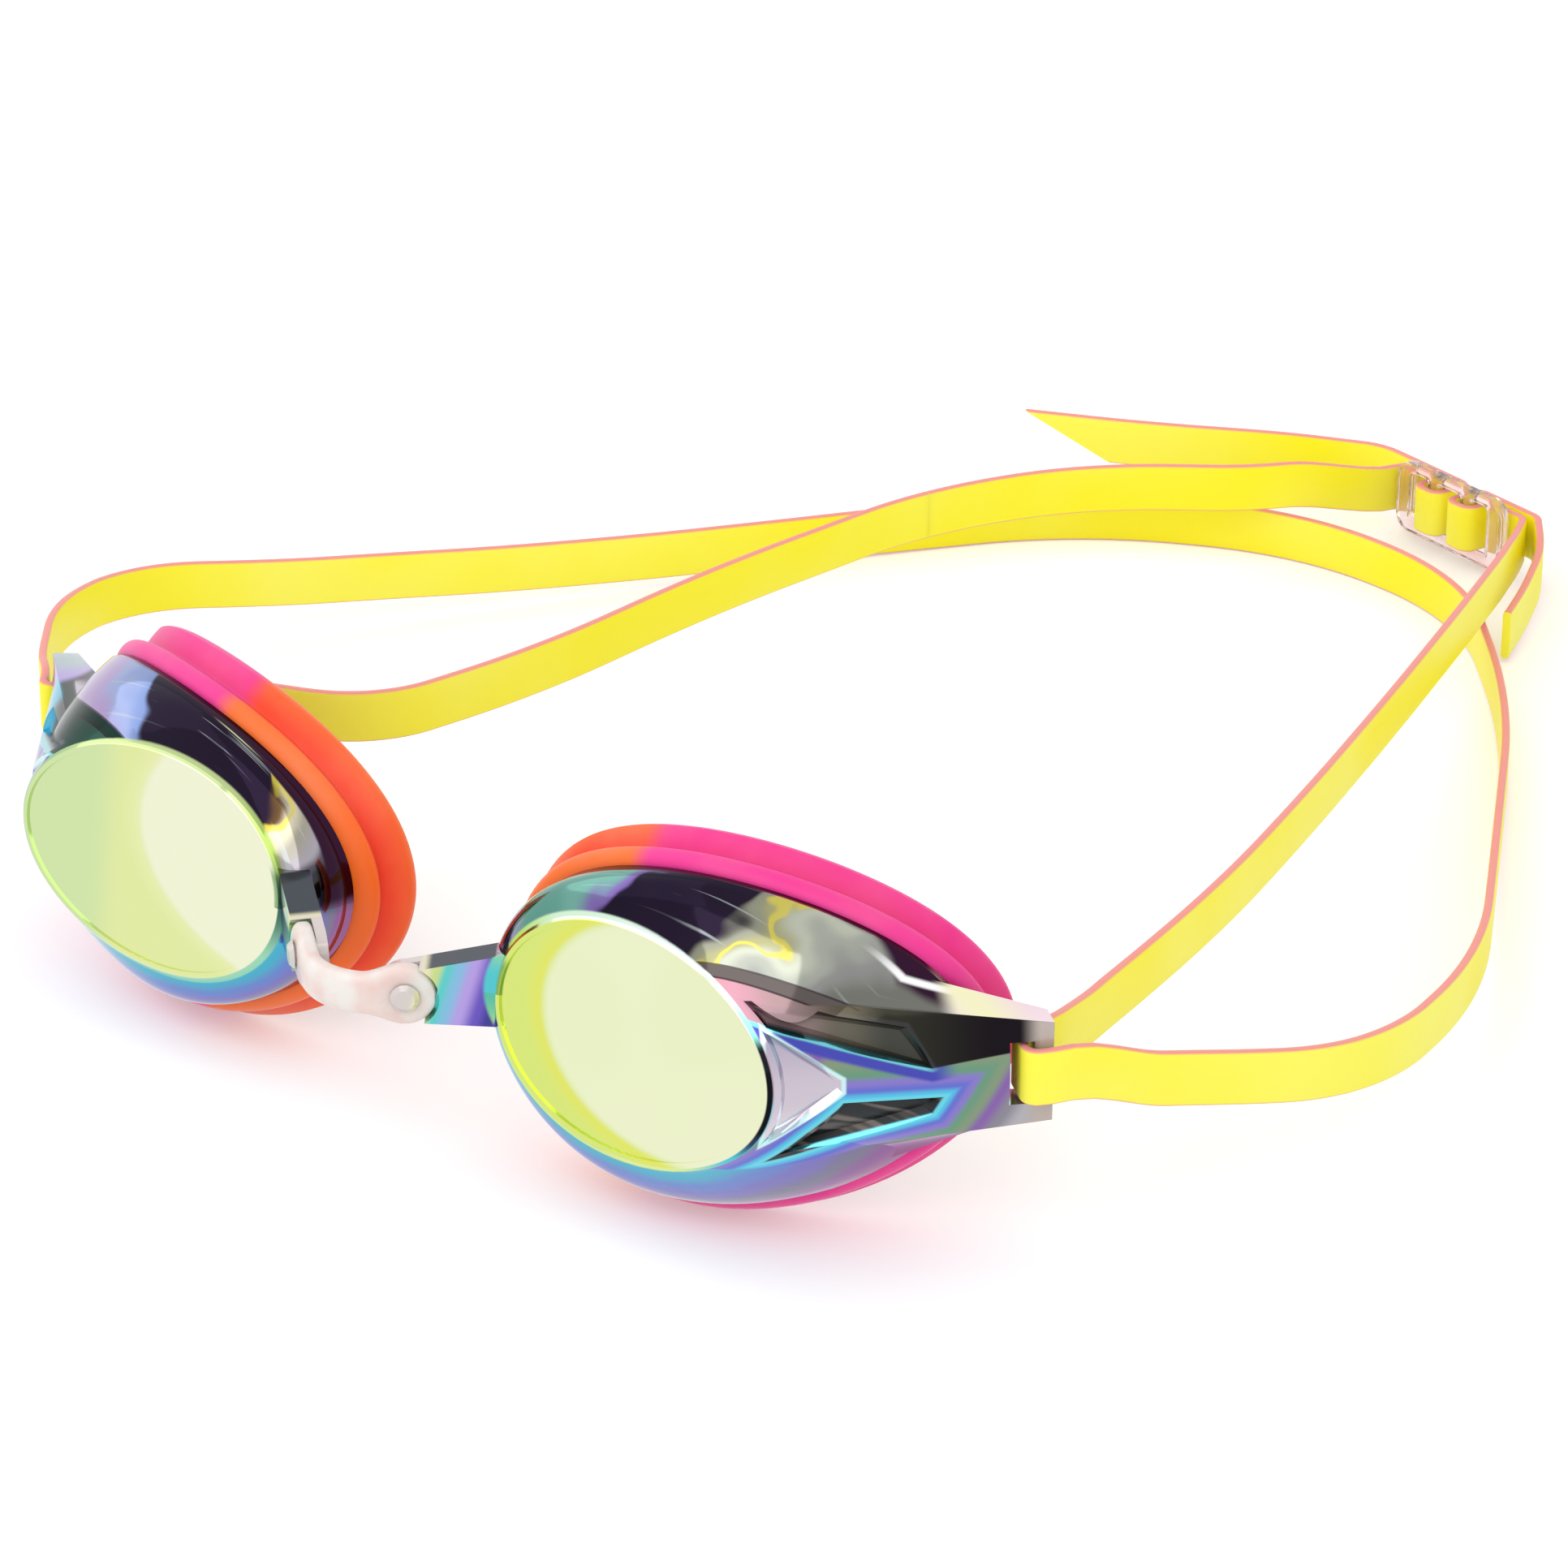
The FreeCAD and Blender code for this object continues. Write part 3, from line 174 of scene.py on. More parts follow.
class GogglesStrapSizes(bpy.types.PropertyGroup):
    """Sizes of the strap and the bars that it goes round."""
    width: length("Width", 6.4, "Strap, standing on its edge")
    thickness: length("Thickness", 1.6, "Strap as it lies on the bars")
    section: length("Section", 1.05, "Strap between its two wide faces")
    corner: length("Corner", 0.35, "Rounded corners across the strap")
    gap: length("Gap", 0.2, "Strap from the bars that it goes round")
    layer_gap: length("Layer Gap", 0.15, "Tail from the strap layer it lies on")
    bend: length("Bend", 0.5, "Tightest bend of the strap's inner face")
    bevel: length("Bevel", 12, "Slanted cut of the long tail")
    arm_angle: angle("Arm Angle", 51.5, "Temple arm turns back from the lens plane")
    arm_length: length("Arm Length", 29.8, "Temple arm, lens rim to its end")
    arm_thickness: length("Arm Thickness", 3, "Temple arm at the eyelet")
    eyelet_half: length("Eyelet Half Height", 5.7, "Temple arm at the eyelet")
    eyelet_bar: length("Eyelet Bar", 2, "Bar that the strap turns round")
    buckle_x: length("Buckle Across", 3, "Buckle centre from the goggles' middle plane")
    buckle_back: length("Buckle Back", 206.9, "Buckle centre behind the lens line")
    buckle_turn: angle("Buckle Turn", -15, "Buckle's long axis from the X axis")
    buckle_length: length("Buckle Length", 20.6, "Buckle")
    buckle_thickness: length("Buckle Thickness", 2, "Buckle")
    buckle_height: length("Strap Height", 3, "Strap's lower edge above the table at the buckle")
    buckle_bar: length("Buckle Bar", 2, "Inner bars of the buckle")
    buckle_slot: length("Middle Slot", 4.4, "Slot that both strap ends leave by")


class GogglesStage(bpy.types.PropertyGroup):
    """Camera and lamps."""
    azimuth: angle("Azimuth", 38.9096, "Camera to the left of the wearer's front")
    elevation: angle("Elevation", 25.4657, "Camera above the horizon")
    roll: angle("Roll", 0.2317, "Camera turned about its own line of sight")
    lens: FloatProperty(name="Focal Length", default=134.46, unit="CAMERA",
                        description="Camera lens on a 36 mm sensor")
    eye: FloatVectorProperty(name="Eye", default=(0.39717, -0.51334, 0.30936), size=3,
                             unit="LENGTH", subtype="TRANSLATION", precision=5,
                             description="Camera position")
    floor_size: FloatProperty(name="Floor", default=8.0, unit="LENGTH",
                              description="Side of the white floor")
    key_power: FloatProperty(name="Key Lamp", default=4.2, unit="POWER",
                             description="Large soft lamp in front of the goggles")
    fill_power: FloatProperty(name="Fill Lamp", default=2.0, unit="POWER",
                              description="Soft lamp on the other side")
    sky: FloatProperty(name="Sky", default=0.9, min=0,
                       description="Strength of the even white light all round")


# ------------------------------------------------------------- shape helpers


def turned_about_z(radians):
    """Rotation matrix about the vertical axis."""
    c, s = math.cos(radians), math.sin(radians)
    return np.array([[c, -s, 0], [s, c, 0], [0, 0, 1]])


def leaning_back(radians):
    """Rotation matrix about X that takes the top of a thing back."""
    c, s = math.cos(radians), math.sin(radians)
    return np.array([[1, 0, 0], [0, c, s], [0, -s, c]])


def sizes(key):
    """The lengths of a settings group in millimetres and its angles in radians."""
    group = getattr(bpy.context.scene, "goggles_" + key)
    values = {}
    for name, prop in group.bl_rna.properties.items():
        if prop.type == "FLOAT" and not prop.is_array:
            scale = MM if prop.unit == "LENGTH" else 1
            values[name] = getattr(group, name) / scale
    return values


def mirrored(points, side):
    """Points of the left half, moved to the right half when side is RIGHT."""
    if side == RIGHT:
        points = points.copy()
        points[..., 0] = 2 * MIDDLE_X - points[..., 0]
    return points


def smooth(share):
    """Smooth step from 0 to 1: 3 share^2 - 2 share^3, held outside that range."""
    share = np.clip(share, 0, 1)
    return share * share * (3 - 2 * share)


def oval(turn, half_width, half_height, egg, roll):
    """Egg-shaped oval: half_width cos t across and half_height sin t (1 - egg cos t) up,
    rolled in its own plane."""
    across = half_width * np.cos(turn)
    upward = half_height * np.sin(turn) * (1 - egg * np.cos(turn))
    return (across * math.cos(roll) - upward * math.sin(roll),
            across * math.sin(roll) + upward * math.cos(roll))


def face_points(cup, gasket, turn, outward, depth):
    """Points on the oval that wraps round the face.

    The oval grows from the flange to the lip with the square of its depth, and
    its depth gains across^2 / (2 wrap radius). Gives the points and how far across
    the oval each one is.
    """
    share = np.clip(1 + depth / cup["flange_forward"], 0, 1) ** 2
    half_width = cup["flange_half_width"] + share * gasket["lip_spread_width"] + outward
    half_height = cup["flange_half_height"] + share * gasket["lip_spread_height"] + outward
    across, upward = oval(turn, half_width, half_height, cup["oval_egg"], cup["face_roll"])
    wrap = across ** 2 / (2 * cup["face_wrap"])
    local = np.stack([across, wrap + depth, upward], -1)
    middle = np.array([cup["lens_spacing"] / 2 + cup["flange_out"], cup["flange_back"],
                       -cup["flange_drop"]])
    turn_matrix = turned_about_z(cup["face_turn"]) @ leaning_back(cup["face_tilt"])
    return FIT_ORIGIN + middle + local @ turn_matrix.T, across


def arc(middle, radii, start, end, count):
    """Points on an elliptical arc, angles in degrees."""
    turn = np.radians(np.linspace(start, end, count))
    return np.stack([middle[0] + radii[0] * np.cos(turn), middle[1] + radii[1] * np.sin(turn)], -1)


def cubic(t, start, end, leave, arrive):
    """Cubic from start to end as t goes from 0 to 1, with given slopes at its ends."""
    return ((2 * t ** 3 - 3 * t ** 2 + 1) * start + (t ** 3 - 2 * t ** 2 + t) * leave
            + (3 * t ** 2 - 2 * t ** 3) * end + (t ** 3 - t ** 2) * arrive)


def curve_between(first, second, pull, count):
    """Cubic curve from the end of one outline to the start of the next, leaving and
    arriving along them; the two end points are left out."""
    leave, arrive = first[-1] - first[-2], second[1] - second[0]
    return cubic(np.linspace(0, 1, count + 2)[1:-1, None], first[-1], second[0],
                 leave / np.linalg.norm(leave) * pull, arrive / np.linalg.norm(arrive) * pull)


def grid_quads(rows, columns, wrap_rows, wrap_columns):
    """Grid corners (row, column) of the quads between neighbouring points."""
    i, j = np.meshgrid(np.arange(rows if wrap_rows else rows - 1),
                       np.arange(columns if wrap_columns else columns - 1), indexing="ij")
    corners = [(i, j), (i + 1, j), (i + 1, j + 1), (i, j + 1)]
    return np.stack([np.stack(corner, -1) for corner in corners], -2).reshape(-1, 4, 2)


def signed_volume(points, quads):
    """Volume inside a closed skin of quads, negative when they face inwards."""
    a, b, c, d = (points[quads[:, k]] for k in range(4))
    return (a * (np.cross(b, c) + np.cross(c, d))).sum() / 6


def add_object(name, data, material=None):
    """A new object in the scene, with its only material where it has one."""
    if material:
        data.materials.append(material)
    item = bpy.data.objects.new(name, data)
    bpy.context.scene.collection.objects.link(item)
    return item


def skin(name, material, points, along, around, wrap_rows=True, attributes=None, sharp=35):
    """Object whose surface runs through a grid of points [rows, columns, xyz] in mm.

    Columns wrap round. Rows wrap too, or else have a flat cap at each end. along and
    around are the UV coordinates of the rows and columns, with one more where the grid
    wraps. attributes are values kept for each point, and edges sharper than sharp
    degrees aren't smoothed.
    """
    rows, columns = points.shape[:2]
    corners = grid_quads(rows, columns, wrap_rows, True)
    quads = (corners[..., 0] % rows) * columns + corners[..., 1] % columns
    flat = points.reshape(-1, 3)
    inward = signed_volume(flat - flat.mean(0), quads) < 0
    if inward:
        quads = quads[:, ::-1]
        corners = corners[:, ::-1]
    faces = quads.tolist()
    if not wrap_rows:
        first = list(range(columns))
        last = [(rows - 1) * columns + k for k in range(columns)]
        faces += [first, last[::-1]] if inward else [first[::-1], last]
    mesh = bpy.data.meshes.new(name)
    mesh.from_pydata(flat * MM, [], faces)
    layer = mesh.uv_layers.new(name="Strip")
    uv = np.zeros((len(mesh.loops), 2), np.float32)
    uv[:quads.size, 0] = along[corners[..., 0].reshape(-1)]
    uv[:quads.size, 1] = around[corners[..., 1].reshape(-1)]
    layer.data.foreach_set("uv", uv.reshape(-1))
    for key, values in (attributes or {}).items():
        layer = mesh.attributes.new(key, "FLOAT", "POINT")
        layer.data.foreach_set("value", np.asarray(values, np.float32).reshape(-1))
    mesh.shade_smooth()
    mesh.set_sharp_from_angle(angle=math.radians(sharp))
    mesh.validate()
    return add_object(name, mesh, material)


# ---------------------------------------------------------- material helpers


class Field:
    """A number or colour that varies over a material: an output socket of its nodes.

    Sums, differences and products of fields add Math nodes.
    """

    def __init__(self, socket):
        self.socket = socket
        self.tree = socket.id_data

    def calc(self, operation, *others):
        """Result of a Math node on this field and on others."""
        inputs = dict(enumerate((self, *others)))
        return Field(add_node(self.tree, "Math", inputs, operation=operation).outputs[0])

    def __add__(self, other):
        return self.calc("ADD", other)

    def __sub__(self, other):
        return self.calc("SUBTRACT", other)

    def __mul__(self, other):
        return self.calc("MULTIPLY", other)

    def __neg__(self):
        return self * -1.0

    def __abs__(self):
        return self.calc("ABSOLUTE")


def new_material(name):
    """An empty material and its node tree."""
    material = bpy.data.materials.new(name)
    material.use_nodes = True
    material.node_tree.nodes.clear()
    return material, material.node_tree


def add_node(tree, kind, inputs=None, **settings):
    """A node with its settings made. An input is a field, a node, a value or a web colour."""
    node = tree.nodes.new("ShaderNode" + kind)
    for key, value in settings.items():
        setattr(node, key, value)
    for key, value in (inputs or {}).items():
        if isinstance(value, bpy.types.Node):
            value = Field(value.outputs[0])
        if isinstance(value, Field):
            tree.links.new(value.socket, node.inputs[key])
        else:
            node.inputs[key].default_value = web(value) if isinstance(value, str) else value
    return node


def surface(material, inputs):
    """Give the material a Principled shader with these inputs."""
    tree = material.node_tree
    add_node(tree, "OutputMaterial", {"Surface": add_node(tree, "BsdfPrincipled", inputs)})
    return material


def object_point(tree):
    """Position in the object's own coordinates."""
    return Field(add_node(tree, "TexCoord").outputs["Object"])


def attribute(tree, name):
    """A value kept in the mesh."""
    return Field(add_node(tree, "Attribute", attribute_name=name).outputs["Fac"])


def parts(vector):
    """The x, y and z of a vector field."""
    return [Field(socket) for socket in add_node(vector.tree, "SeparateXYZ", {0: vector}).outputs]


def noise(vector, scale, detail, distortion=0.0):
    """Noise value between 0 and 1."""
    node = add_node(vector.tree, "TexNoise", {"Vector": vector, "Scale": scale,
                                              "Detail": detail, "Distortion": distortion})
    return Field(node.outputs["Fac"])


def streaks(x, y, detail, distortion=0.0):
    """Noise over the plane of two fields."""
    plane = Field(add_node(x.tree, "CombineXYZ", {0: x, 1: y}).outputs[0])
    return noise(plane, 1.0, detail, distortion)


def grain(point, scale, height, strength):
    """Normal of a fine unevenness, whose height is in metres."""
    node = add_node(point.tree, "Bump", {"Height": noise(point, scale, 2), "Distance": height,
                                         "Strength": strength})
    return Field(node.outputs["Normal"])


def fade(value, low, high, start=0.0, end=1.0):
    """Smooth step from start to end as value goes from low to high."""
    node = add_node(value.tree, "MapRange", {"Value": value, "From Min": low, "From Max": high,
                                             "To Min": start, "To Max": end},
                    interpolation_type="SMOOTHSTEP")
    return Field(node.outputs["Result"])


def line_mask(value, place, near, far, strength=1.0):
    """Mask of the line where value is at place: whole up to near it, nothing from far on."""
    return fade(abs(value - place), near, far, strength, 0)


def lowest(first, *others):
    """Least of some fields."""
    for other in others:
        first = first.calc("MINIMUM", other)
    return first


def hypot(x, z):
    """Length of a vector in a plane."""
    return (x * x + z * z).calc("SQRT")


def mix(factor, first, second):
    """Colour between two colours."""
    node = add_node(factor.tree, "Mix", {0: factor, 6: first, 7: second}, data_type="RGBA")
    return Field(node.outputs[2])


def bands(value, low, high, stops):
    """Colour ramp over a value, with (value, web colour) stops between low and high."""
    share = add_node(value.tree, "MapRange", {"Value": value, "From Min": low, "From Max": high})
    node = add_node(value.tree, "ValToRGB", {"Fac": share})
    node.color_ramp.interpolation = "EASE"
    elements = node.color_ramp.elements
    while len(elements) < len(stops):
        elements.new(1.0)
    for element, (place, shade) in zip(elements, stops):
        element.position = (place - low) / (high - low)
        element.color = web(shade)
    return Field(node.outputs["Color"])


def paint_cad(node, material):
    """Assign a material to all the slots of a CAD node."""
    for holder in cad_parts[node].material_slots:
        holder.material = material


# ------------------------------------------------------------------ silicone

# The gasket's outline: angles of the bead's arc from the seat to the groove and of the
# lip's arc from the groove to the opening, in degrees, with the points on each. Then
# the pull at the ends of the two curves between them, in mm, with their points.
BEAD_ARC = (-90, 50, 14)
LIP_ARC = (-55, 150, 26)
GROOVE_CURVE = (1.6, 9)
WALL_CURVE = (1.2, 8)
# Points of the lip that still have the groove's painted shade, a darker and deeper colour, and
# points that the change to it is spread over.
GROOVE_SHADE_ON_LIP = 7
GROOVE_SHADE_SPREAD = 9
GASKET_ROWS = 180


def silicone_material(colours):
    """Two-tone silicone: pink and orange run together, and the groove has painted shade, darker
    and deeper in colour.
    """
    material, tree = new_material("two_tone_silicone")
    point = object_point(tree)
    # Painted shade: the groove and the lip's front take a darker, deeper colour.
    groove = attribute(tree, "groove")
    orange = mix(groove, colours.orange, colours.groove)
    pink = mix(groove, colours.pink, "E81C86")
    base = mix(attribute(tree, "temple_share"), orange, pink)
    cloud = fade(noise(point, 90, 3), 0.35, 0.8, 0.0, 0.10)
    return surface(material, {
        "Base Color": mix(cloud, base, "FFD0B0"), "Roughness": 0.42,
        "Subsurface Weight": 0.35, "Subsurface Radius": (1.0, 0.45, 0.35),
        "Subsurface Scale": 0.0016, "Specular IOR Level": 0.42, "Sheen Weight": 0.12,
        "Sheen Roughness": 0.4, "Normal": grain(point, 2600, 0.00002, 0.35)})


def gasket_profile(cup, gasket):
    """Outline across the gasket, (outward, depth) in mm, all the way round, and how much
    of the groove's painted shade each point has.

    Front bead and face lip are elliptical arcs, joined by a cubic groove and
    closed by the inner wall and the flat seat.
    """
    front = -cup["flange_forward"] + cup["flange_thickness"] + gasket["seat_gap"]
    half_bead = gasket["bead_length"] / 2
    half_lip = gasket["lip_length"] / 2
    lip_round = gasket["lip_width"] / 2
    bead = arc((0, front + half_bead), (gasket["bead_height"], half_bead), *BEAD_ARC)
    lip = arc((-lip_round, gasket["lip_rear"] - half_lip), (lip_round, half_lip), *LIP_ARC)
    groove = curve_between(bead, lip, *GROOVE_CURVE)
    seat = np.array([[-gasket["opening"], front], [-gasket["opening"] / 2, front]])
    wall = curve_between(lip, seat, *WALL_CURVE)
    outline = np.concatenate([bead, groove, lip, wall, seat])
    # tint is the share of the groove's painted shade at each point of the outline.
    tint = np.zeros(len(outline))
    tint[len(bead):len(bead) + len(groove) + GROOVE_SHADE_ON_LIP] = 1
    wrap = GROOVE_SHADE_SPREAD // 2
    tint = np.convolve(np.r_[tint[-wrap:], tint, tint[:wrap]],
                       np.ones(GROOVE_SHADE_SPREAD) / GROOVE_SHADE_SPREAD, "valid")
    return outline, tint


def make_gasket(name, side, material):
    """One eye's silicone ring: the gasket outline carried round the face oval."""
    cup, gasket = sizes("cup"), sizes("gasket")
    # groove is the share of the groove's painted shade at each point of the outline.
    profile, groove = gasket_profile(cup, gasket)
    turn = np.linspace(0, 2 * math.pi, GASKET_ROWS, endpoint=False)[:, None]
    points, across = face_points(cup, gasket, turn, profile[None, :, 0], profile[None, :, 1])
    temple_share = smooth((across - gasket["colour_split"]) / gasket["colour_blend"] + 0.5)
    return skin(name, material, mirrored(points, side), np.linspace(0, 1, GASKET_ROWS + 1),
                np.linspace(0, 1, len(profile) + 1),
                attributes={"temple_share": temple_share,
                            "groove": np.broadcast_to(groove, temple_share.shape)})


class GOGGLES_OT_gaskets(bpy.types.Operator):
    """Make the two-tone silicone gasket of each eye"""
    bl_idname = "goggles.gaskets"
    bl_label = "Gaskets"

    def execute(self, context):
        material = silicone_material(context.scene.goggles_colours)
        for word, side in SIDES.items():
            piece = make_gasket(word + "_gasket", side, material)
            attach(piece, word + "_frame")
            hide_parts(word + "_gasket_temple", word + "_gasket_nose")
        return {"FINISHED"}


# --------------------------------------------------------------- nose bridge

# Rows along the bridge, points round it, and the power of sine and cosine that its
# section follows. As shares of the eye's radius: how much further than the neck the
# height swells, and the half height under which the ends get thinner.
BRIDGE_ROWS = 141
BRIDGE_POINTS = 48
BRIDGE_POWER = 0.55
EARLY_SWELL = 0.6
THIN_SHARE = 0.25
# A share of the way from the bridge's middle to each eye; the reach worked out from it goes
# unused.
BEND_SHARE = 0.55


def bridge_material(colours):
    """Milky elastomer that lets some light through."""
    material, tree = new_material("milky_elastomer")
    point = object_point(tree)
    cloud = fade(noise(point, 260, 3), 0.3, 0.75)
    return surface(material, {
        "Base Color": mix(cloud, colours.bridge, "EFD2CC"), "Roughness": 0.3,
        "Subsurface Weight": 0.8, "Subsurface Radius": (1.0, 0.85, 0.8),
        "Subsurface Scale": 0.0015, "Transmission Weight": 0.12, "IOR": 1.42,
        "Normal": grain(point, 1500, 0.00003, 0.3)})


def bridge_path(bridge, across):
    """Middle line of the bridge in plan: an arc that runs on straight to each end.

    Gives the points, the outward directions, the distance from the middle, half the
    length and the arc's radius.
    """
    turn = bridge["arm_angle"]
    eye = bridge["eye_radius"]
    bend = (across - eye * math.cos(turn)) / math.sin(turn)
    half = bend * turn + 2 * eye
    walked = np.linspace(-half, half, BRIDGE_ROWS)
    swing = np.clip(walked / bend, -turn, turn)
    spare = walked - swing * bend
    outward = np.stack([np.sin(swing), -np.cos(swing)], -1)
    along = np.stack([np.cos(swing), np.sin(swing)], -1)
    return bend * outward + along * spare[:, None], outward, walked, half, bend


def bridge_height(bridge, walked, half):
    """Half the bridge's height: its waist, swelling smoothly to a round eye at each end."""
    eye = bridge["eye_radius"]
    waist = bridge["waist"] / 2
    eye_middle = half - eye
    disc = np.sqrt(np.clip(eye ** 2 - (np.abs(walked) - eye_middle) ** 2, 0, None))
    swell = bridge["neck"] + eye * EARLY_SWELL
    neck = waist + (eye - waist) * smooth((np.abs(walked) - (eye_middle - swell)) / swell)
    return np.where(np.abs(walked) < eye_middle, neck, disc)


def make_bridge(material):
    """Arched band whose height swells to a round eye at each end.

    Its section is a rounded oblong: thickness and height both follow a power of
    sine and cosine. Gives the piece and the distance from its middle to an eye.
    """
    bridge = sizes("bridge")
    low, high = (np.array(corner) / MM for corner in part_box("nose_bridge"))
    turn = bridge["arm_angle"]
    eye = bridge["eye_radius"]
    half_thick = bridge["thickness"] / 2
    across = (high[0] - low[0]) / 2 - eye * math.cos(turn) - half_thick * math.sin(turn)
    plan, outward, walked, half, bend = bridge_path(bridge, across)
    centre = np.array([(low[0] + high[0]) / 2, low[1] + bend + half_thick,
                       (low[2] + high[2]) / 2])
    height = bridge_height(bridge, walked, half)
    section = np.linspace(0, 2 * math.pi, BRIDGE_POINTS, endpoint=False)
    out, rise = (np.sign(wave) * np.abs(wave) ** BRIDGE_POWER
                 for wave in (np.cos(section), np.sin(section)))
    thick = half_thick * np.clip(height / (eye * THIN_SHARE), 0, 1) ** 0.5
    points = np.zeros((len(walked), len(section), 3))
    points[..., :2] = plan[:, None] + outward[:, None] * (thick[:, None] * out)[..., None]
    points[..., 2] = height[:, None] * rise
    piece = skin("bridge_band", material, points + centre, walked * MM,
                 np.linspace(0, 1, BRIDGE_POINTS + 1), wrap_rows=False, sharp=80)
    return piece, across


class GOGGLES_OT_bridge(bpy.types.Operator):
    """Make the milky nose bridge, which bends between the two cups"""
    bl_idname = "goggles.bridge"
    bl_label = "Nose Bridge"

    def execute(self, context):
        piece, across = make_bridge(bridge_material(context.scene.goggles_colours))
        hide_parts("nose_bridge")
        reach = Vector((BEND_SHARE * across * MM, 0, 0))
        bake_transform(piece)
        return {"FINISHED"}


# --------------------------------------------------------------------- strap

# Corners of the strap's middle line where it lies free, (x, y) from the midpoint of
# the lens centres, and height of its lower edge above the table, in mm.
OUTER_ROUTE = [
    (78, 36, 14.6), (87.5, 63, 8), (80, 95, 4), (62, 126, 1.3), (41, 162, 0.05), (16, 190, 0.05),
    (-12, 195, 0.05), (-40, 182, 0.05), (-61, 153, 0.3), (-78, 123, 1.6), (-97, 95, 3.6),
    (-109, 70, 7.5), (-100, 49, 11.8), (-84, 31.5, 15.6),
]
LEFT_ROUTE = [
    (67.5, 31, 17.6), (64.5, 42, 15.5), (58, 75, 13.5), (50.5, 103, 12.2), (40.5, 136, 10.3),
    (30, 168, 8), (21.5, 191, 5.4),
]
RIGHT_ROUTE = [
    (-66.5, 31.5, 18.2), (-59.5, 37.5, 17.3), (-45, 48, 15.2), (-43, 75, 13.2),
    (-45, 110, 11.2), (-43, 150, 9.4), (-33, 172, 8.8), (-12, 190, 8),
]
SHORT_TAIL = [(21, 200.5, 2), (25, 190, 1), (27.3, 182.5, 0.6)]
LONG_TAIL = [(-14, 215.5, 2.9), (-26, 210, 3.2), (-42, 199.5, 3.8), (-57, 192, 4.2)]
# Where the right run is divided into a front and a rear stretch, (x, y) as above.
RIGHT_SPLIT = (-43, 150)

# The temple arm's outer face starts this far behind the lens plane at the rim, and the
# middle of its eyelet lies this far above the lens centre, in mm.
ARM_DEPTH = 0.35
EYELET_RAISE = 0.5
# The strap's legs start this far behind an eyelet's bar, as a share of their reach
# ahead of it, and its turns at the buckle's ends keep this many gaps from them.
LEG_START = 0.75
END_GAPS = 2.5
# Rows along the strap: their spacing in a bend in mm, how many times wider apart they
# are where it is straight, and a bend's fewest rows and largest step in radians. A
# bend with no set radius takes up this share of the shorter leg beside it.
ROW_STEP = 0.9
STRAIGHT_STEPS = 4
BEND_ROWS = 6
BEND_STEP = 0.09
BEND_ROOM = 0.48
# Points on each rounded corner of the strap's section, and where between its last two
# rows each end gets one more.
CORNER_POINTS = 5
TIP = 0.97


def route_stops(route):
    """Corners of the strap where it lies free, each with no set bend radius."""
    return [(np.array([x + FIT_ORIGIN[0], y + FIT_ORIGIN[1], z]), None) for x, y, z in route]


def arm_place(cup, strap):
    """Start, direction and outward direction of the left temple arm."""
    start = lens_points(cup, 0.0, 0.0, ARM_DEPTH)
    turn = strap["arm_angle"]
    along = np.array([math.cos(turn), math.sin(turn), 0])
    outward = np.array([math.sin(turn), -math.cos(turn), 0])
    return start, along, outward


def lens_points(cup, turn, inset, depth):
    """Points on the lens oval, inset from its outline and behind its front plane."""
    across, upward = oval(turn, cup["lens_half_width"] - inset, cup["lens_half_height"] - inset,
                          cup["oval_egg"], cup["lens_roll"])
    local = np.stack([across, np.full_like(across, depth), upward], -1)
    matrix = turned_about_z(cup["lens_turn"]) @ leaning_back(cup["lens_tilt"])
    middle = np.array([cup["lens_spacing"] / 2, 0, 0])
    return FIT_ORIGIN + middle + local @ matrix.T


def eyelet_stops(cup, strap, side):
    """Corners of the strap round an eyelet's bar, from the outer leg to the inner one."""
    start, along, outward = arm_place(cup, strap)
    bar_along = strap["arm_length"] - strap["eyelet_bar"] / 2
    reach = (strap["arm_thickness"] + strap["thickness"]) / 2 + strap["gap"]
    ahead = (strap["eyelet_bar"] + strap["thickness"]) / 2 + strap["gap"]
    tight = strap["thickness"] / 2 + strap["bend"]
    stops = []
    for out, forward, radius in ((reach, LEG_START * ahead, None), (reach, -ahead, tight),
                                 (-reach, -ahead, tight)):
        point = (start + along * (bar_along + forward)
                 + outward * (out - strap["arm_thickness"] / 2))
        point[2] = FIT_ORIGIN[2] + EYELET_RAISE - strap["width"] / 2
        stops.append((mirrored(point, side), radius))
    return stops


def seam_stop(cup, strap, side):
    """Where the outer loop becomes the inner run, just behind an eyelet."""
    route = LEFT_ROUTE if side == LEFT else RIGHT_ROUTE
    point = (eyelet_stops(cup, strap, side)[-1][0] + route_stops(route[:1])[0][0]) / 2
    return point, None


def buckle_stops(strap, side):
    """Corners of the strap through the buckle: over, under, back up and over again."""
    thick = strap["thickness"]
    skin_gap = (strap["buckle_thickness"] + thick) / 2 + strap["gap"]
    tight = thick / 2 + strap["bend"]
    end = strap["buckle_length"] / 2 + thick / 2 + END_GAPS * strap["gap"]
    entry = strap["buckle_slot"] / 2 + strap["buckle_bar"] + thick / 2 + strap["gap"]
    centre = strap["buckle_slot"] / 2 - thick / 2 - strap["gap"]
    layer = thick + strap["layer_gap"]
    middle = FIT_ORIGIN + [strap["buckle_x"], strap["buckle_back"], 0]
    matrix = turned_about_z(strap["buckle_turn"])
    stops = []
    for along, outward, radius in ((end, skin_gap, tight), (entry, skin_gap, tight),
                                   (entry, -skin_gap, tight), (centre, -skin_gap, tight),
                                   (centre, skin_gap + layer, tight),
                                   (end + layer / 2, skin_gap + layer, 2 * tight)):
        point = middle + matrix @ [side * along, outward, 0]
        point[2] = strap["buckle_height"]
        stops.append((point, radius))
    return stops


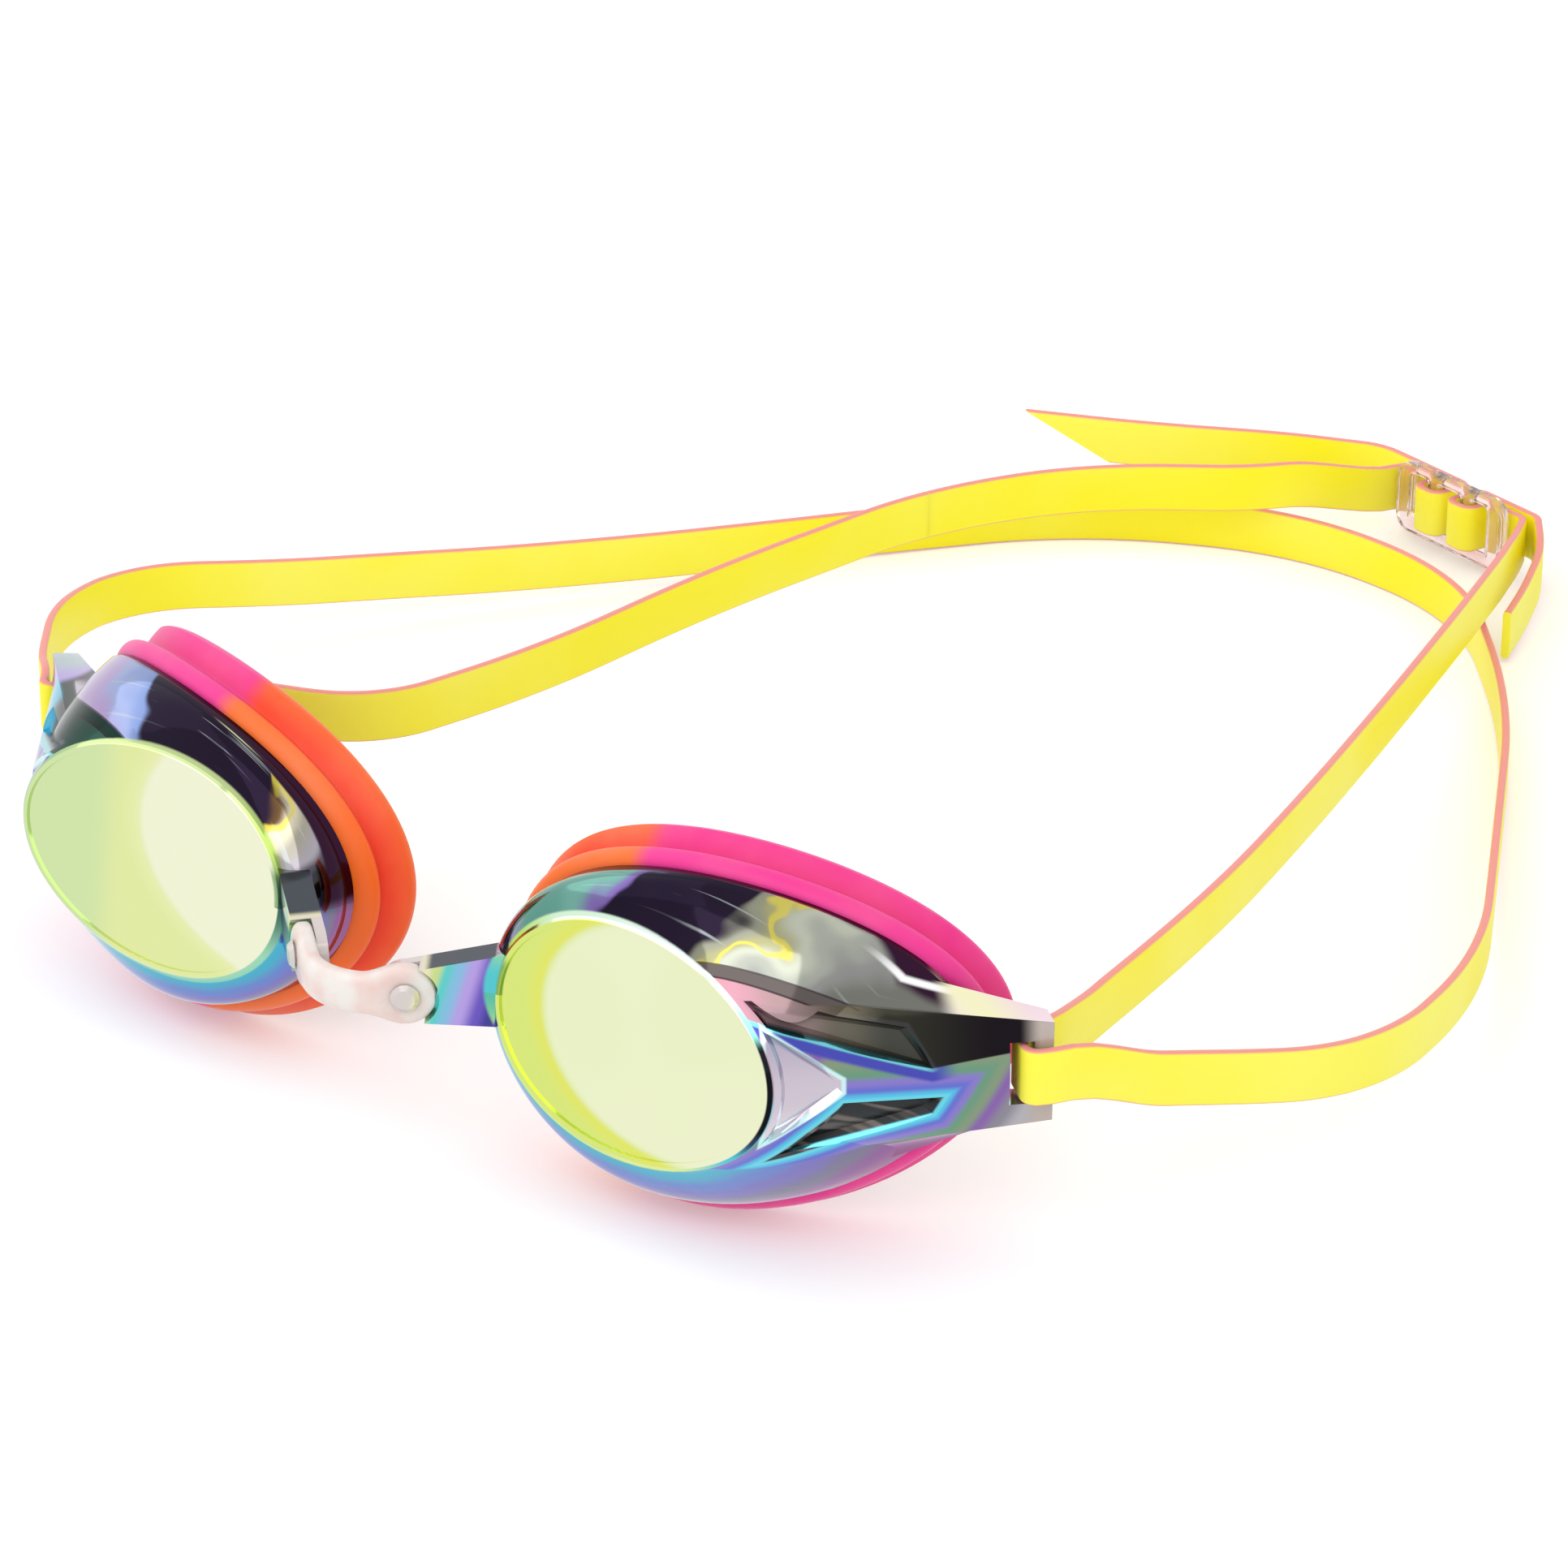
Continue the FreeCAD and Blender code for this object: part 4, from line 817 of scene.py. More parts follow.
def plan_line(stops):
    """The strap's middle line in plan: straight runs joined by tangent arcs.

    Gives points, headings, distances walked and the height knots (distance,
    height) at the middle of each bend and at the two ends.
    """
    flat = [stop[0][:2] for stop in stops]
    first = flat[1] - flat[0]
    heading = math.atan2(first[1], first[0])
    here, walked = flat[0], 0.0
    places, turns, distances = [np.array([here])], [np.array([heading])], [np.array([0.0])]
    knots = [(0.0, stops[0][0][2])]

    def straight_to(end):
        nonlocal here, walked
        run = np.linalg.norm(end - here)
        share = np.linspace(0, 1, max(2, int(run / (STRAIGHT_STEPS * ROW_STEP)) + 2))[1:, None]
        places.append(here + (end - here) * share)
        turns.append(np.full(len(share), heading))
        distances.append(walked + run * share[:, 0])
        here, walked = end, walked + run

    for before, (corner, radius), after in zip(flat, stops[1:-1], flat[2:]):
        spot = corner[:2]
        inward, onward = spot - before, after - spot
        room = BEND_ROOM * min(np.linalg.norm(inward), np.linalg.norm(onward))
        turn = math.atan2(inward[0] * onward[1] - inward[1] * onward[0], inward @ onward)
        half = math.tan(abs(turn) / 2)
        if radius is None:
            radius = room / half
        straight_to(spot - inward / np.linalg.norm(inward) * radius * half)
        steps = max(BEND_ROWS, int(abs(turn) * radius / ROW_STEP), int(abs(turn) / BEND_STEP))
        swing = np.linspace(0, turn, steps + 1)[1:]
        arm = np.array([-math.sin(heading), math.cos(heading)]) * math.copysign(radius, turn)
        spun = np.stack([arm[0] * np.cos(swing) - arm[1] * np.sin(swing),
                         arm[0] * np.sin(swing) + arm[1] * np.cos(swing)], -1)
        places.append(here + arm - spun)
        turns.append(heading + swing)
        distances.append(walked + radius * np.abs(swing))
        knots.append((walked + radius * abs(turn) / 2, corner[2]))
        here, heading, walked = places[-1][-1], heading + turn, walked + radius * abs(turn)
    straight_to(flat[-1])
    knots.append((walked, stops[-1][0][2]))
    return np.concatenate(places), np.concatenate(turns), np.concatenate(distances), knots


def heights_along(knots, distance):
    """Height through the knots by monotone cubic pieces: the slope at a knot is the
    harmonic mean of the slopes beside it, or nil where they differ in sign."""
    x, y = np.array(knots).T
    gap = np.diff(x)
    rise = np.diff(y) / gap
    before = np.r_[rise[0], rise]
    after = np.r_[rise, rise[-1]]
    same = before * after > 0
    slope = np.where(same, 2 * before * after / np.where(same, before + after, 1), 0)
    i = np.clip(np.searchsorted(x, distance, "right") - 1, 0, len(gap) - 1)
    return cubic((distance - x[i]) / gap[i], y[i], y[i + 1], gap[i] * slope[i],
                 gap[i] * slope[i + 1])


def strap_section(strap):
    """Rounded oblong across the strap, (across, up) in mm, from its lower edge."""
    corner = strap["corner"]
    half = strap["section"] / 2
    top = strap["width"]
    quarters = []
    for across, up, start in ((half - corner, corner, -90), (half - corner, top - corner, 0),
                              (corner - half, top - corner, 90), (corner - half, corner, 180)):
        quarters.append(arc((across, up), (corner, corner), start, start + 90, CORNER_POINTS))
    return np.concatenate(quarters)


def strap_grid(strap, stops):
    """Grid of points on a strap that stands on its edge, and its distance along."""
    places, turns, walked, knots = plan_line(stops)
    section = strap_section(strap)
    lift = heights_along(knots, walked)
    points = np.zeros((len(walked), len(section), 3))
    aside = np.stack([-np.sin(turns), np.cos(turns)], -1)
    points[..., :2] = places[:, None] + aside[:, None] * section[None, :, :1]
    points[..., 2] = lift[:, None] + section[None, :, 1]
    return points, walked


def cut_slanted(points, walked, strap):
    """Slanted end: rows near the end are sheared back, by the whole bevel at the
    strap's lower edge and by nothing at its upper edge."""
    left = walked[-1] - walked
    reach = 2 * strap["bevel"]
    rank = (points[..., 2] - points[..., 2].min(1, keepdims=True)) / strap["width"]
    onward = np.gradient(points.mean(1), walked, axis=0)[:, None]
    shift = strap["bevel"] * (1 - rank) * np.clip(1 - left / reach, 0, 1)[:, None]
    return points - onward * shift[..., None]


def with_tips(rows):
    """Rows with one more close to each end, which keeps the end caps' edges crisp."""
    return np.concatenate([rows[:1], rows[:1] * TIP + rows[1:2] * (1 - TIP), rows[1:-1],
                           rows[-1:] * TIP + rows[-2:-1] * (1 - TIP), rows[-1:]])


def strap_piece(name, strap, points, walked, material):
    """Object for one stretch of the strap. Its rim attribute is 1 along the thin edges
    and falls to 0 in the middle of the wide faces."""
    points = with_tips(points)
    section = strap_section(strap)
    edge = np.linalg.norm(np.diff(np.r_[section, section[:1]], axis=0), axis=1)
    around = np.r_[0, np.cumsum(edge)] * MM
    height = np.broadcast_to(section[None, :, 1], points.shape[:2]) / strap["width"]
    rim = np.abs(2 * height - 1)
    rim[[0, -1]] = 0
    piece = skin(name, material, points, with_tips(walked) * MM, around, wrap_rows=False,
                 attributes={"rim": rim}, sharp=50)
    return piece


def strap_material(colours):
    """Yellow silicone with salmon edges, cloudy along its length."""
    material, tree = new_material("strap_silicone")
    point = object_point(tree)
    face = mix(fade(noise(point, 28, 2), 0.4, 0.68), colours.strap, "FFF75C")
    edge = fade(attribute(tree, "rim"), 0.9, 0.985)
    return surface(material, {
        "Base Color": mix(edge, face, colours.strap_edge), "Roughness": 0.45,
        "Subsurface Weight": 0.25, "Subsurface Radius": (1.0, 0.9, 0.25),
        "Subsurface Scale": 0.0012, "Specular IOR Level": 0.4,
        "Normal": grain(point, 1800, 0.00003, 0.35)})


class GOGGLES_OT_strap(bpy.types.Operator):
    """Make the strap: outer loop, two inner runs, and their ends woven through the buckle"""
    bl_idname = "goggles.strap"
    bl_label = "Strap"

    def execute(self, context):
        cup, strap = sizes("cup"), sizes("strap")
        material = strap_material(context.scene.goggles_colours)
        self.outer_loop(cup, strap, material)
        self.left_run(cup, strap, material)
        self.right_run(cup, strap, material)
        return {"FINISHED"}

    def outer_loop(self, cup, strap, material):
        """The loop behind the head, with the turn round each eyelet's bar."""
        stops = ([seam_stop(cup, strap, LEFT)] + eyelet_stops(cup, strap, LEFT)[::-1]
                 + route_stops(OUTER_ROUTE) + eyelet_stops(cup, strap, RIGHT)
                 + [seam_stop(cup, strap, RIGHT)])
        piece = strap_piece("strap_loop", strap, *strap_grid(strap, stops), material)
        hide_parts("strap_outer_loop")
        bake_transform(piece)

    def left_run(self, cup, strap, material):
        """From the left eyelet through the buckle to the short tail."""
        stops = ([seam_stop(cup, strap, LEFT)] + route_stops(LEFT_ROUTE)
                 + buckle_stops(strap, LEFT) + route_stops(SHORT_TAIL))
        piece = strap_piece("strap_left", strap, *strap_grid(strap, stops), material)
        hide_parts("strap_left_run")
        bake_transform(piece)

    def right_run(self, cup, strap, material):
        """From the right eyelet through the buckle to the long tail, in two stretches."""
        stops = ([seam_stop(cup, strap, RIGHT)] + route_stops(RIGHT_ROUTE)
                 + buckle_stops(strap, RIGHT) + route_stops(LONG_TAIL))
        points, walked = strap_grid(strap, stops)
        place = FIT_ORIGIN[:2] + RIGHT_SPLIT
        split = int(np.argmin(np.linalg.norm(points.mean(1)[:, :2] - place, axis=1)))
        points = cut_slanted(points, walked, strap)
        front = strap_piece("strap_right_front", strap, points[:split + 1], walked[:split + 1],
                            material)
        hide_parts("strap_right_run")
        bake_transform(front)
        rear = strap_piece("strap_right_rear", strap, points[split:], walked[split:], material)
        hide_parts("strap_right_run")
        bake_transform(rear)


# ------------------------------------------------------------ cups and buckle


def seen_from(tree, place, rotation, scale):
    """Object coordinates seen from a place in mm, turned, and divided by a scale in mm."""
    node = add_node(tree, "Mapping", {
        "Vector": object_point(tree), "Location": place * MM, "Rotation": rotation,
        "Scale": [share * MM for share in scale]}, vector_type="TEXTURE")
    return parts(Field(node.outputs[0]))


def lens_coordinates(tree, cup, side):
    """Lens-plane coordinates: x and z reach 1 at the lens outline, and the depth is in mm.

    Gives x, z, the depth, the distance rho from the lens centre and the angle in
    degrees, from 0 at the temple end over the top to 180 at the nose.
    """
    middle = mirrored(FIT_ORIGIN + [cup["lens_spacing"] / 2, 0, 0], side)
    x, depth, z = seen_from(
        tree, middle, (-cup["lens_tilt"], -side * cup["lens_roll"], side * cup["lens_turn"]),
        (side * cup["lens_half_width"], 1, cup["lens_half_height"]))
    z = z * (x * cup["oval_egg"] + 1.0)
    return x, z, depth, hypot(x, z), z.calc("ARCTAN2", x) * math.degrees(1)


def upright_coordinates(tree, start, heading, side):
    """Coordinates in mm from a start point: along a level heading, to its left, and up.

    On the right half they are the mirror image of the left half's.
    """
    heading = heading if side == LEFT else math.pi - heading
    return seen_from(tree, mirrored(start, side), (0, 0, heading), (1, side, 1))


def arm_corner(cup, strap, angle, share):
    """Point on the arm's outer face: oval angle at the rim, share of the way to its end.

    Given as (along the arm, height), where each line of the face runs straight from
    its place on the rim to the eyelet's upright edge.
    """
    start, along, _ = arm_place(cup, strap)
    rim = lens_points(cup, math.radians(angle), ARM_INSET, ARM_DEPTH)
    here = np.array([(rim - start) @ along, rim[2] - FIT_ORIGIN[2] - EYELET_RAISE])
    level = (angle - ARM_ROOT[0]) / (ARM_ROOT[1] - ARM_ROOT[0]) * 2 - 1
    there = np.array([strap["arm_length"], level * strap["eyelet_half"]])
    return here + (there - here) * share


def inside_outline(x, z, corners):
    """How far a point lies inside a convex outline, in mm, negative outside."""
    middle = np.mean(corners, axis=0)
    edges = []
    for a, b in zip(corners, np.roll(corners, -1, axis=0)):
        inward = np.array([a[1] - b[1], b[0] - a[0]]) / np.linalg.norm(b - a)
        inward = inward * np.sign(inward @ (middle - a))
        edges.append(x * inward[0] + (z * inward[1] - inward @ a))
    return lowest(*edges)


# How far inside the rim the arm's outer lines start, in mm. Oval angles at the bottom
# and top of the temple arm's root, how far its paint reaches as a share of its length,
# and the outlines of its three recesses as (oval angle, share of the arm's length).
ARM_INSET = 0.08
ARM_ROOT = (-55, 50)
ARM_REACH = 1.05
UPPER_RECESS = ((36, 0.06), (46, 0.05), (38, 0.52), (10, 0.57))
SIDE_FACET = ((-28, 0.035), (33, 0.035), (7, 0.25), (0, 0.25))
LOWER_RECESS = ((-48, 0.12), (-7, 0.26), (-13, 0.62), (-27, 0.6))

# The play of colours of each mirror coat, as stops (place, web colour): partly the coat's
# own colours, and partly painted reflections and highlights.
# lens: centre and radius of the pale oval, a painted reflection, its colour, the colour
#   outside it and of the line between them, and the colour from a place on across the lens.
# rim: painted highlights and reflections by the angle round the lens. wall: painted
#   reflections by the same angle, above the lens.
# vein and leaf: angles where the thin yellow line and the leaf-shaped field lie.
# painted_glint: a painted highlight; its depth on the wall, its first and last angle, and its
#   colour.
# upper and painted_gleam: along the temple arm, in its upper recess and, as a painted
#   highlight, on its top.
# facet: up the arm's side facet. crest and end: single colours of the arm; the crest's is a
#   painted highlight.
NEAR_COAT_AND_REFLECTIONS = {
    "lens": ((0.36, 0.12), 1.0, "EAF1C6", "D9E87C", "E7E75A", "D4E878", 2.0),
    "rim": ((-180, "5CC0A8"), (-150, "CFE878"), (-70, "D8EC88"), (-42, "4CC8D8"),
            (-26, "2C3C60"), (-18, "0E1218"), (24, "10141C"), (34, "8FE8D8"), (60, "F4FFFF"),
            (120, "D8F4D8"), (150, "B8E060"), (172, "58C8D0")),
    "wall": ((36, "74746E"), (46, "8E8E8C"), (53, "A3A69C"), (59, "B8BCAC"), (65, "A19F74"),
             (69, "8E8F7E"), (72.5, "241A2E"), (107, "1C1428"), (111, "7B63A8"),
             (119, "6FA79A"), (140, "5C988A"), (158, "9A90B6"), (180, "C98FA2")),
    "vein": 64.5, "leaf": 70.2, "shaded_leaf": "5E5755", "painted_glint": (0.9, 22, 44, "FFFFFF"),
    "upper": ((0, "C77E54"), (3, "BC8998"), (8, "9B8082"), (14, "5A5446"), (19, "303028"),
              (30, "1B151B")),
    "facet": ((0, "E4DAE0"), (6, "CFC5D2"), (12, "B9AEC2")),
    "crest": "74D8E4", "end": "B9AEA6",
    "painted_gleam": ((20, "BFE9F0"), (26, "F3E3EE"), (32, "F7F3C8"), (37, "F5DDE6"), (40, "D9D5DA")),
}
FAR_COAT_AND_REFLECTIONS = {
    "lens": ((-1.0, 0.4), 1.1, "F1F3D5", "E2EBA4", "E9EFB2", "D0E4AA", 0.3),
    "rim": ((-180, "3E6A60"), (-150, "9CD8B8"), (-70, "7CC8C0"), (-30, "8FC4D8"),
            (34, "9FC98C"), (60, "C9DC9A"), (120, "BBCD91"), (150, "A6BE62"), (172, "2E4A42")),
    "wall": ((10, "C4CCBC"), (40, "C9BCCB"), (62, "B09AC8"), (74, "9CA9D4"), (84, "8196C9"),
             (88, "241C2E"), (146, "22172C"), (150, "5A4228"), (154, "D8CEB0"),
             (160, "A29E91"), (168, "A8A2AC"), (174, "55505A"), (180, "3A3A38")),
    "vein": 152, "leaf": 80, "shaded_leaf": "16302A", "painted_glint": (0.88, 104, 116, "C9D49A"),
    "upper": ((0, "2E5548"), (8, "12302A"), (18, "0C211C"), (22, "3FB8DC"), (26, "6CC4EC"),
              (30, "B1ACE0")),
    "facet": ((0, "A99AD8"), (6, "9C8CD0"), (12, "8C7CC4")),
    "crest": "74D8E4", "end": "B0ACD8",
    "painted_gleam": ((20, "58C8EA"), (25, "8FA8E0"), (30, "B9A4E0"), (35, "B4C4C8"), (40, "C8CCD0")),
}
# Colours that both coats share, partly painted reflections: the wall below the lens by its
# depth, the rib round the lower recess by its distance in mm, and the nose arm by the distance
# along it in mm.
LOW_WALL = ((0, "7CCBD6"), (0.18, "4FB0CC"), (0.38, "6F88CC"), (0.55, "8078BE"),
            (0.75, "7F7A94"), (0.9, "905E9A"), (1.05, "98608E"))
RIB = ((0, "8CE4F0"), (0.5, "58C4E8"), (1.3, "6A74D0"), (2.1, "8C7CCC"), (3.0, "6E9C80"),
       (4.2, "869A7E"), (5.4, "8A66AC"), (7.0, "8E8A96"), (9.0, "B4B2B8"))
NOSE_ARM = ((0, "4A4496"), (1.4, "6E5AC0"), (3.2, "B79FE4"), (4.8, "86BFE0"), (6.0, "62CFC8"),
            (7.0, "C9DC8C"), (8.2, "E5DEB5"), (9.2, "D2C9C6"))

# The bands above the lens slant by this many degrees over the wall's depth: the slope
# against the angle, the angle where it is at its least, and the least and the most.
SLANT = (0.73, 70, 4.0, 26.0)
# The bands sway by this many degrees, and the yellow vein wanders by this many more.
SWAY = 26
WANDER = 22
# The leaf-shaped field beside the lens narrows by this many degrees over the wall's
# depth, and its shaded blade begins this many degrees inside it.
LEAF_SLOPE = 63.0
BLADE = 8
# Each mask of the cup's paint fades in or out between two numbers.
# The upward and the backward part of a face's normal.
UPWARD = (0.6, 0.75)
BACKWARD = (0.2, 0.4)
# Lens, bevel round it, and arm: depth in mm, and rho, which is 1 at the lens outline.
LENS_DEPTH = (0.8, 1.0)
LENS_RHO = (0.975, 0.985)
BEVEL_DEPTH = (0.42, 0.55)
BEVEL_RHO = (1.03, 1.05)
ARM_RHO = (1.0, 1.01)
# Along the temple arm in mm: where its top's painted highlight starts, its end's own colour,
# and its bare end. Along the nose arm: its root, the end of its top's painted dark reflection,
# and its bare post.
PAINTED_GLEAM = (18, 20.5)
END_COLOUR = (26.2, 28.6)
BARE_END = (27, 28.6)
NOSE_ROOT = (0.0, 0.3)
NOSE_TOP = (7.0, 8.0)
NOSE_POST = (6.9, 7.4)
# The nose arm's rear face, and its half height, in mm.
NOSE_REAR = (-3.7, -3.5)
NOSE_HALF = (4.6, 4.8)


def paint_lens(coat_and_reflections, point, x, z, turn, rho):
    """Mirror of the lens, its yellow partly the coat's own and partly painted reflections: a pale
    oval pushed to one side, edged with stronger yellow.
    """
    (across, up), radius, pale, strong, line, deep, deep_from = coat_and_reflections["lens"]
    past = hypot(x - across, z - up) - radius
    cloud = fade(noise(point, 60, 1), 0.35, 0.7, 0, 0.35)
    face = mix(fade(past, -0.05, 0.05), mix(cloud, pale, "F2F3D6"), strong)
    # A line just outside the oval, and the deeper colour across the lens, both painted
    # reflections.
    edge = fade(past, 0, 0.03) * fade(past, 0.03, 0.16, 1, 0)
    face = mix(edge * 0.6, face, line)
    face = mix(fade(x - deep_from, -0.12, 0.2), face, deep)
    # A painted glint, a dark green reflection inside the outline, by the nose.
    return mix(fade(rho, 0.93, 0.97) * fade(turn, 158, 166, 0, 0.8), face, "5C9C58")


def paint_wall(coat_and_reflections, point, turn, share, height, recess):
    """Mirror of the cup's wall, its colours partly the coat's own and partly painted reflections:
    by the angle above the lens, by the depth below it.

    share is the share of the wall's depth, and recess is the colour in the arm's
    upper recess, which the leaf-shaped field goes on with.
    """
    slope, straight, least, most = SLANT
    slant = ((turn - straight) * slope + least).calc("MAXIMUM", least).calc("MINIMUM", most)
    sway = noise(point, 190, 0.7)
    slanted = share * slant + (turn + (sway * SWAY - SWAY / 2))
    top = bands(slanted, 0, 180, coat_and_reflections["wall"])
    # Grey streaks round the wall, which are painted reflections, and a thin yellow vein.
    reflected = fade(streaks(share * 9, turn * 0.02, 2, 0.4), 0.62, 0.68, 0, 0.55)
    top = mix(reflected, top, "B9C0C4")
    wander = noise(point, 300, 0.6) * WANDER - WANDER / 2
    top = mix(line_mask(slanted + wander, coat_and_reflections["vein"], 0.8, 2.4, 0.75), top, "D6C84E")
    # A painted dark reflection on the rear part behind the shelf, whose depth changes with the
    # angle.
    swayed_share = sway * 0.1 + share
    shelf = lowest(turn * 0.01 + 0.5, turn * -0.003 + 1.15)
    top = mix(fade(swayed_share - shelf, 0.02, 0.09), top, "32162F")
    # A painted highlight: a thin glint along the wall at one depth.
    spot, first, last, shine = coat_and_reflections["painted_glint"]
    painted_glint = (line_mask(share, spot, 0.01, 0.035) * fade(turn, first - 4, first + 4)
             * fade(turn, last - 6, last + 6, 1, 0))
    top = mix(painted_glint, top, shine)
    # The leaf-shaped field, its shaded blade, and a dark line along the edge of each.
    leaf = share * LEAF_SLOPE + turn - coat_and_reflections["leaf"]
    blade = mix(fade(leaf, -BLADE - 1, -BLADE + 0.5), recess, coat_and_reflections["shaded_leaf"])
    top = mix(fade(leaf, -0.8, 0, 1, 0), top, blade)
    for line in (0, -BLADE):
        top = mix(line_mask(leaf, line, 0.3, 0.9, 0.8), top, "2B2028")
    low = bands(swayed_share, 0, 1.1, LOW_WALL)
    return mix(fade(height, -0.09, 0.09), low, top)


def paint_arm(coat_and_reflections, cup, strap, along, height, recess):
    """Mirror of the temple arm, partly painted reflections and highlights: dark and pale recesses,
    and bands of colour round them.

    Gives the colour and a mask of the two hollow recesses.
    """
    outlines = [np.array([arm_corner(cup, strap, *corner) for corner in outline])
                for outline in (UPPER_RECESS, SIDE_FACET, LOWER_RECESS)]
    upper, facet, lower = (inside_outline(along, height, outline) for outline in outlines)
    shade = bands(-lower, 0, 10, RIB)
    # The valley runs under the upper recess and on to the arm's end, 3 mm up. Below it
    # are a violet branch and a pale crest with a painted highlight, and above it the upper
    # recess's colour, a painted reflection.
    valley = np.array([outlines[0][0], outlines[0][3], (strap["arm_length"], 3.0)])
    slopes = [(b[1] - a[1]) / (b[0] - a[0]) for a, b in zip(valley, valley[1:])]
    above = lowest(*(along * -slope + (height - (a[1] - slope * a[0]))
                     for a, slope in zip(valley, slopes)))
    shade = mix(fade(above, -1.7, -1.2) * fade(along, 17, 20, 1, 0), shade, "4B4FB4")
    shade = mix(fade(above, -0.5, -0.25) * fade(along, 16, 18, 1, 0), shade, coat_and_reflections["crest"])
    shade = mix(fade(above, -0.1, 0.1), shade, recess)
    pale = bands(height + 6.0, 0, 12, coat_and_reflections["facet"])
    # The lower recess's floor: painted shade and dark reflection, with lighter streaks.
    streak = streaks((along * 0.35 + height) * 0.8, along * 0.06, 1)
    dark = mix(fade(streak, 0.5, 0.66), "101418", "6B615C")
    # Each recess's lip takes a painted highlight, then its floor takes its colour.
    for inside, floor, lip, strength in ((upper, recess, "6E6C7C", 0.15),
                                         (facet, pale, "CFF2F4", 1.0),
                                         (lower, dark, "6FD4E6", 1.0)):
        shade = mix(fade(inside, -0.55, -0.25, 0, strength), shade, lip)
        shade = mix(fade(inside, -0.05, 0.2), shade, floor)
    hollow = fade(upper.calc("MAXIMUM", lower), -0.05, 0.3)
    return mix(fade(along, *END_COLOUR), shade, coat_and_reflections["end"]), hollow


def paint_nose_arm(tree, cup, side, up):
    """Mirror of the nose arm: its colour, partly painted reflections with a painted dark
    reflection on its top, a mask of the arm, and a mask of its bare end.
    """
    bridge = sizes("bridge")
    root = FIT_ORIGIN + [cup["lens_spacing"] / 2 - cup["lens_half_width"] + bridge["root_inset"],
                         bridge["root_back"], 0]
    along, front, rise = upright_coordinates(tree, root, math.pi + bridge["arm_angle"], side)
    on_arm = (fade(along, *NOSE_ROOT) * fade(front, *NOSE_REAR)
              * fade(abs(rise), *NOSE_HALF, 1, 0))
    shade = bands(rise * 0.3 + along, 0, 12, NOSE_ARM)
    # A painted dark reflection on the arm's upward faces, up to the post.
    shade = mix(fade(up, *UPWARD) * fade(along, *NOSE_TOP, 1, 0), shade, "4B5058")
    return shade, on_arm, on_arm * fade(along, *NOSE_POST)


def wall_share(cup, x, depth):
    """Share of the way back from the lens to the flange, which turns and wraps round."""
    across = x * cup["lens_half_width"] - cup["flange_out"]
    bend = across * (1 / (2 * cup["face_wrap"])) + math.tan(cup["face_turn"] - cup["lens_turn"])
    return depth.calc("DIVIDE", across * bend + (cup["flange_back"] - cup["flange_forward"]))


def cup_material(name, side):
    """Smoke polycarbonate with a mirror coat whose colour plays with the surface: partly the
    coat's own colours, partly painted reflections and highlights.
    """
    cup, strap = sizes("cup"), sizes("strap")
    coat_and_reflections = NEAR_COAT_AND_REFLECTIONS if side == LEFT else FAR_COAT_AND_REFLECTIONS
    material, tree = new_material(name)
    point = object_point(tree)
    _, back, up = parts(Field(add_node(tree, "TexCoord").outputs["Normal"]))
    x, z, depth, rho, turn = lens_coordinates(tree, cup, side)
    start = arm_place(cup, strap)[0]
    start[2] = FIT_ORIGIN[2] + EYELET_RAISE
    along, _, height = upright_coordinates(tree, start, strap["arm_angle"], side)
    recess = bands(along + 6.0, 0, 30, coat_and_reflections["upper"])

    shade = paint_wall(coat_and_reflections, point, turn, wall_share(cup, x, depth), z, recess)
    root = np.array([arm_corner(cup, strap, ARM_ROOT[end], share)
                     for end, share in ((0, 0), (1, 0), (1, ARM_REACH), (0, ARM_REACH))])
    on_arm = fade(inside_outline(along, height, root), -0.1, 0.1) * fade(rho, *ARM_RHO)
    arm, hollow = paint_arm(coat_and_reflections, cup, strap, along, height, recess)
    shade = mix(on_arm, shade, arm)
    # A painted highlight on the temple arm's upward faces.
    painted_gleam = bands(height * 1.4 + along, 20, 40, coat_and_reflections["painted_gleam"])
    shade = mix(fade(up, *UPWARD) * fade(along, *PAINTED_GLEAM), shade, painted_gleam)

    nose, on_nose_arm, bare_nose = paint_nose_arm(tree, cup, side, up)
    shade = mix(on_nose_arm, shade, nose)

    # The bevel round the lens: painted highlights and reflections by angle.
    bevel = fade(depth, *BEVEL_DEPTH, 1, 0) * fade(rho, *BEVEL_RHO, 1, 0)
    shade = mix(bevel, shade, bands(turn, -180, 180, coat_and_reflections["rim"]))
    face = fade(depth, *LENS_DEPTH, 1, 0) * fade(rho, *LENS_RHO, 1, 0)
    shade = mix(face, shade, paint_lens(coat_and_reflections, point, x, z, turn, rho))

    # Faces that look backwards show the smoke tint, darker outside the lens. They, the
    # recesses and the bare ends of the two arms reflect less.
    behind = fade(back, *BACKWARD)
    shade = mix(behind, shade, mix(fade(rho, 0.85, 1.0), "565F6B", "2C2D33"))
    hollow = hollow * on_arm
    bare = bare_nose.calc("MAXIMUM", on_arm * fade(along, *BARE_END))
    dull = behind.calc("MAXIMUM", bare.calc("MAXIMUM", hollow * 0.9))
    return surface(material, {
        "Base Color": shade, "Metallic": dull * -0.8 + 0.97, "Roughness": hollow * 0.32 + 0.09,
        "Coat Weight": 0.05, "Coat Roughness": 0.03,
        "Normal": grain(point, 160, 0.00003, 0.2)})


def buckle_material():
    """Clear plastic with a faint pink tint."""
    material, tree = new_material("clear_plastic")
    cloud = fade(noise(object_point(tree), 140, 2), 0.3, 0.7)
    return surface(material, {"Base Color": mix(cloud, "FFF4F2", "FFDCD8"), "Roughness": 0.08,
                              "Transmission Weight": 0.92, "IOR": 1.49})


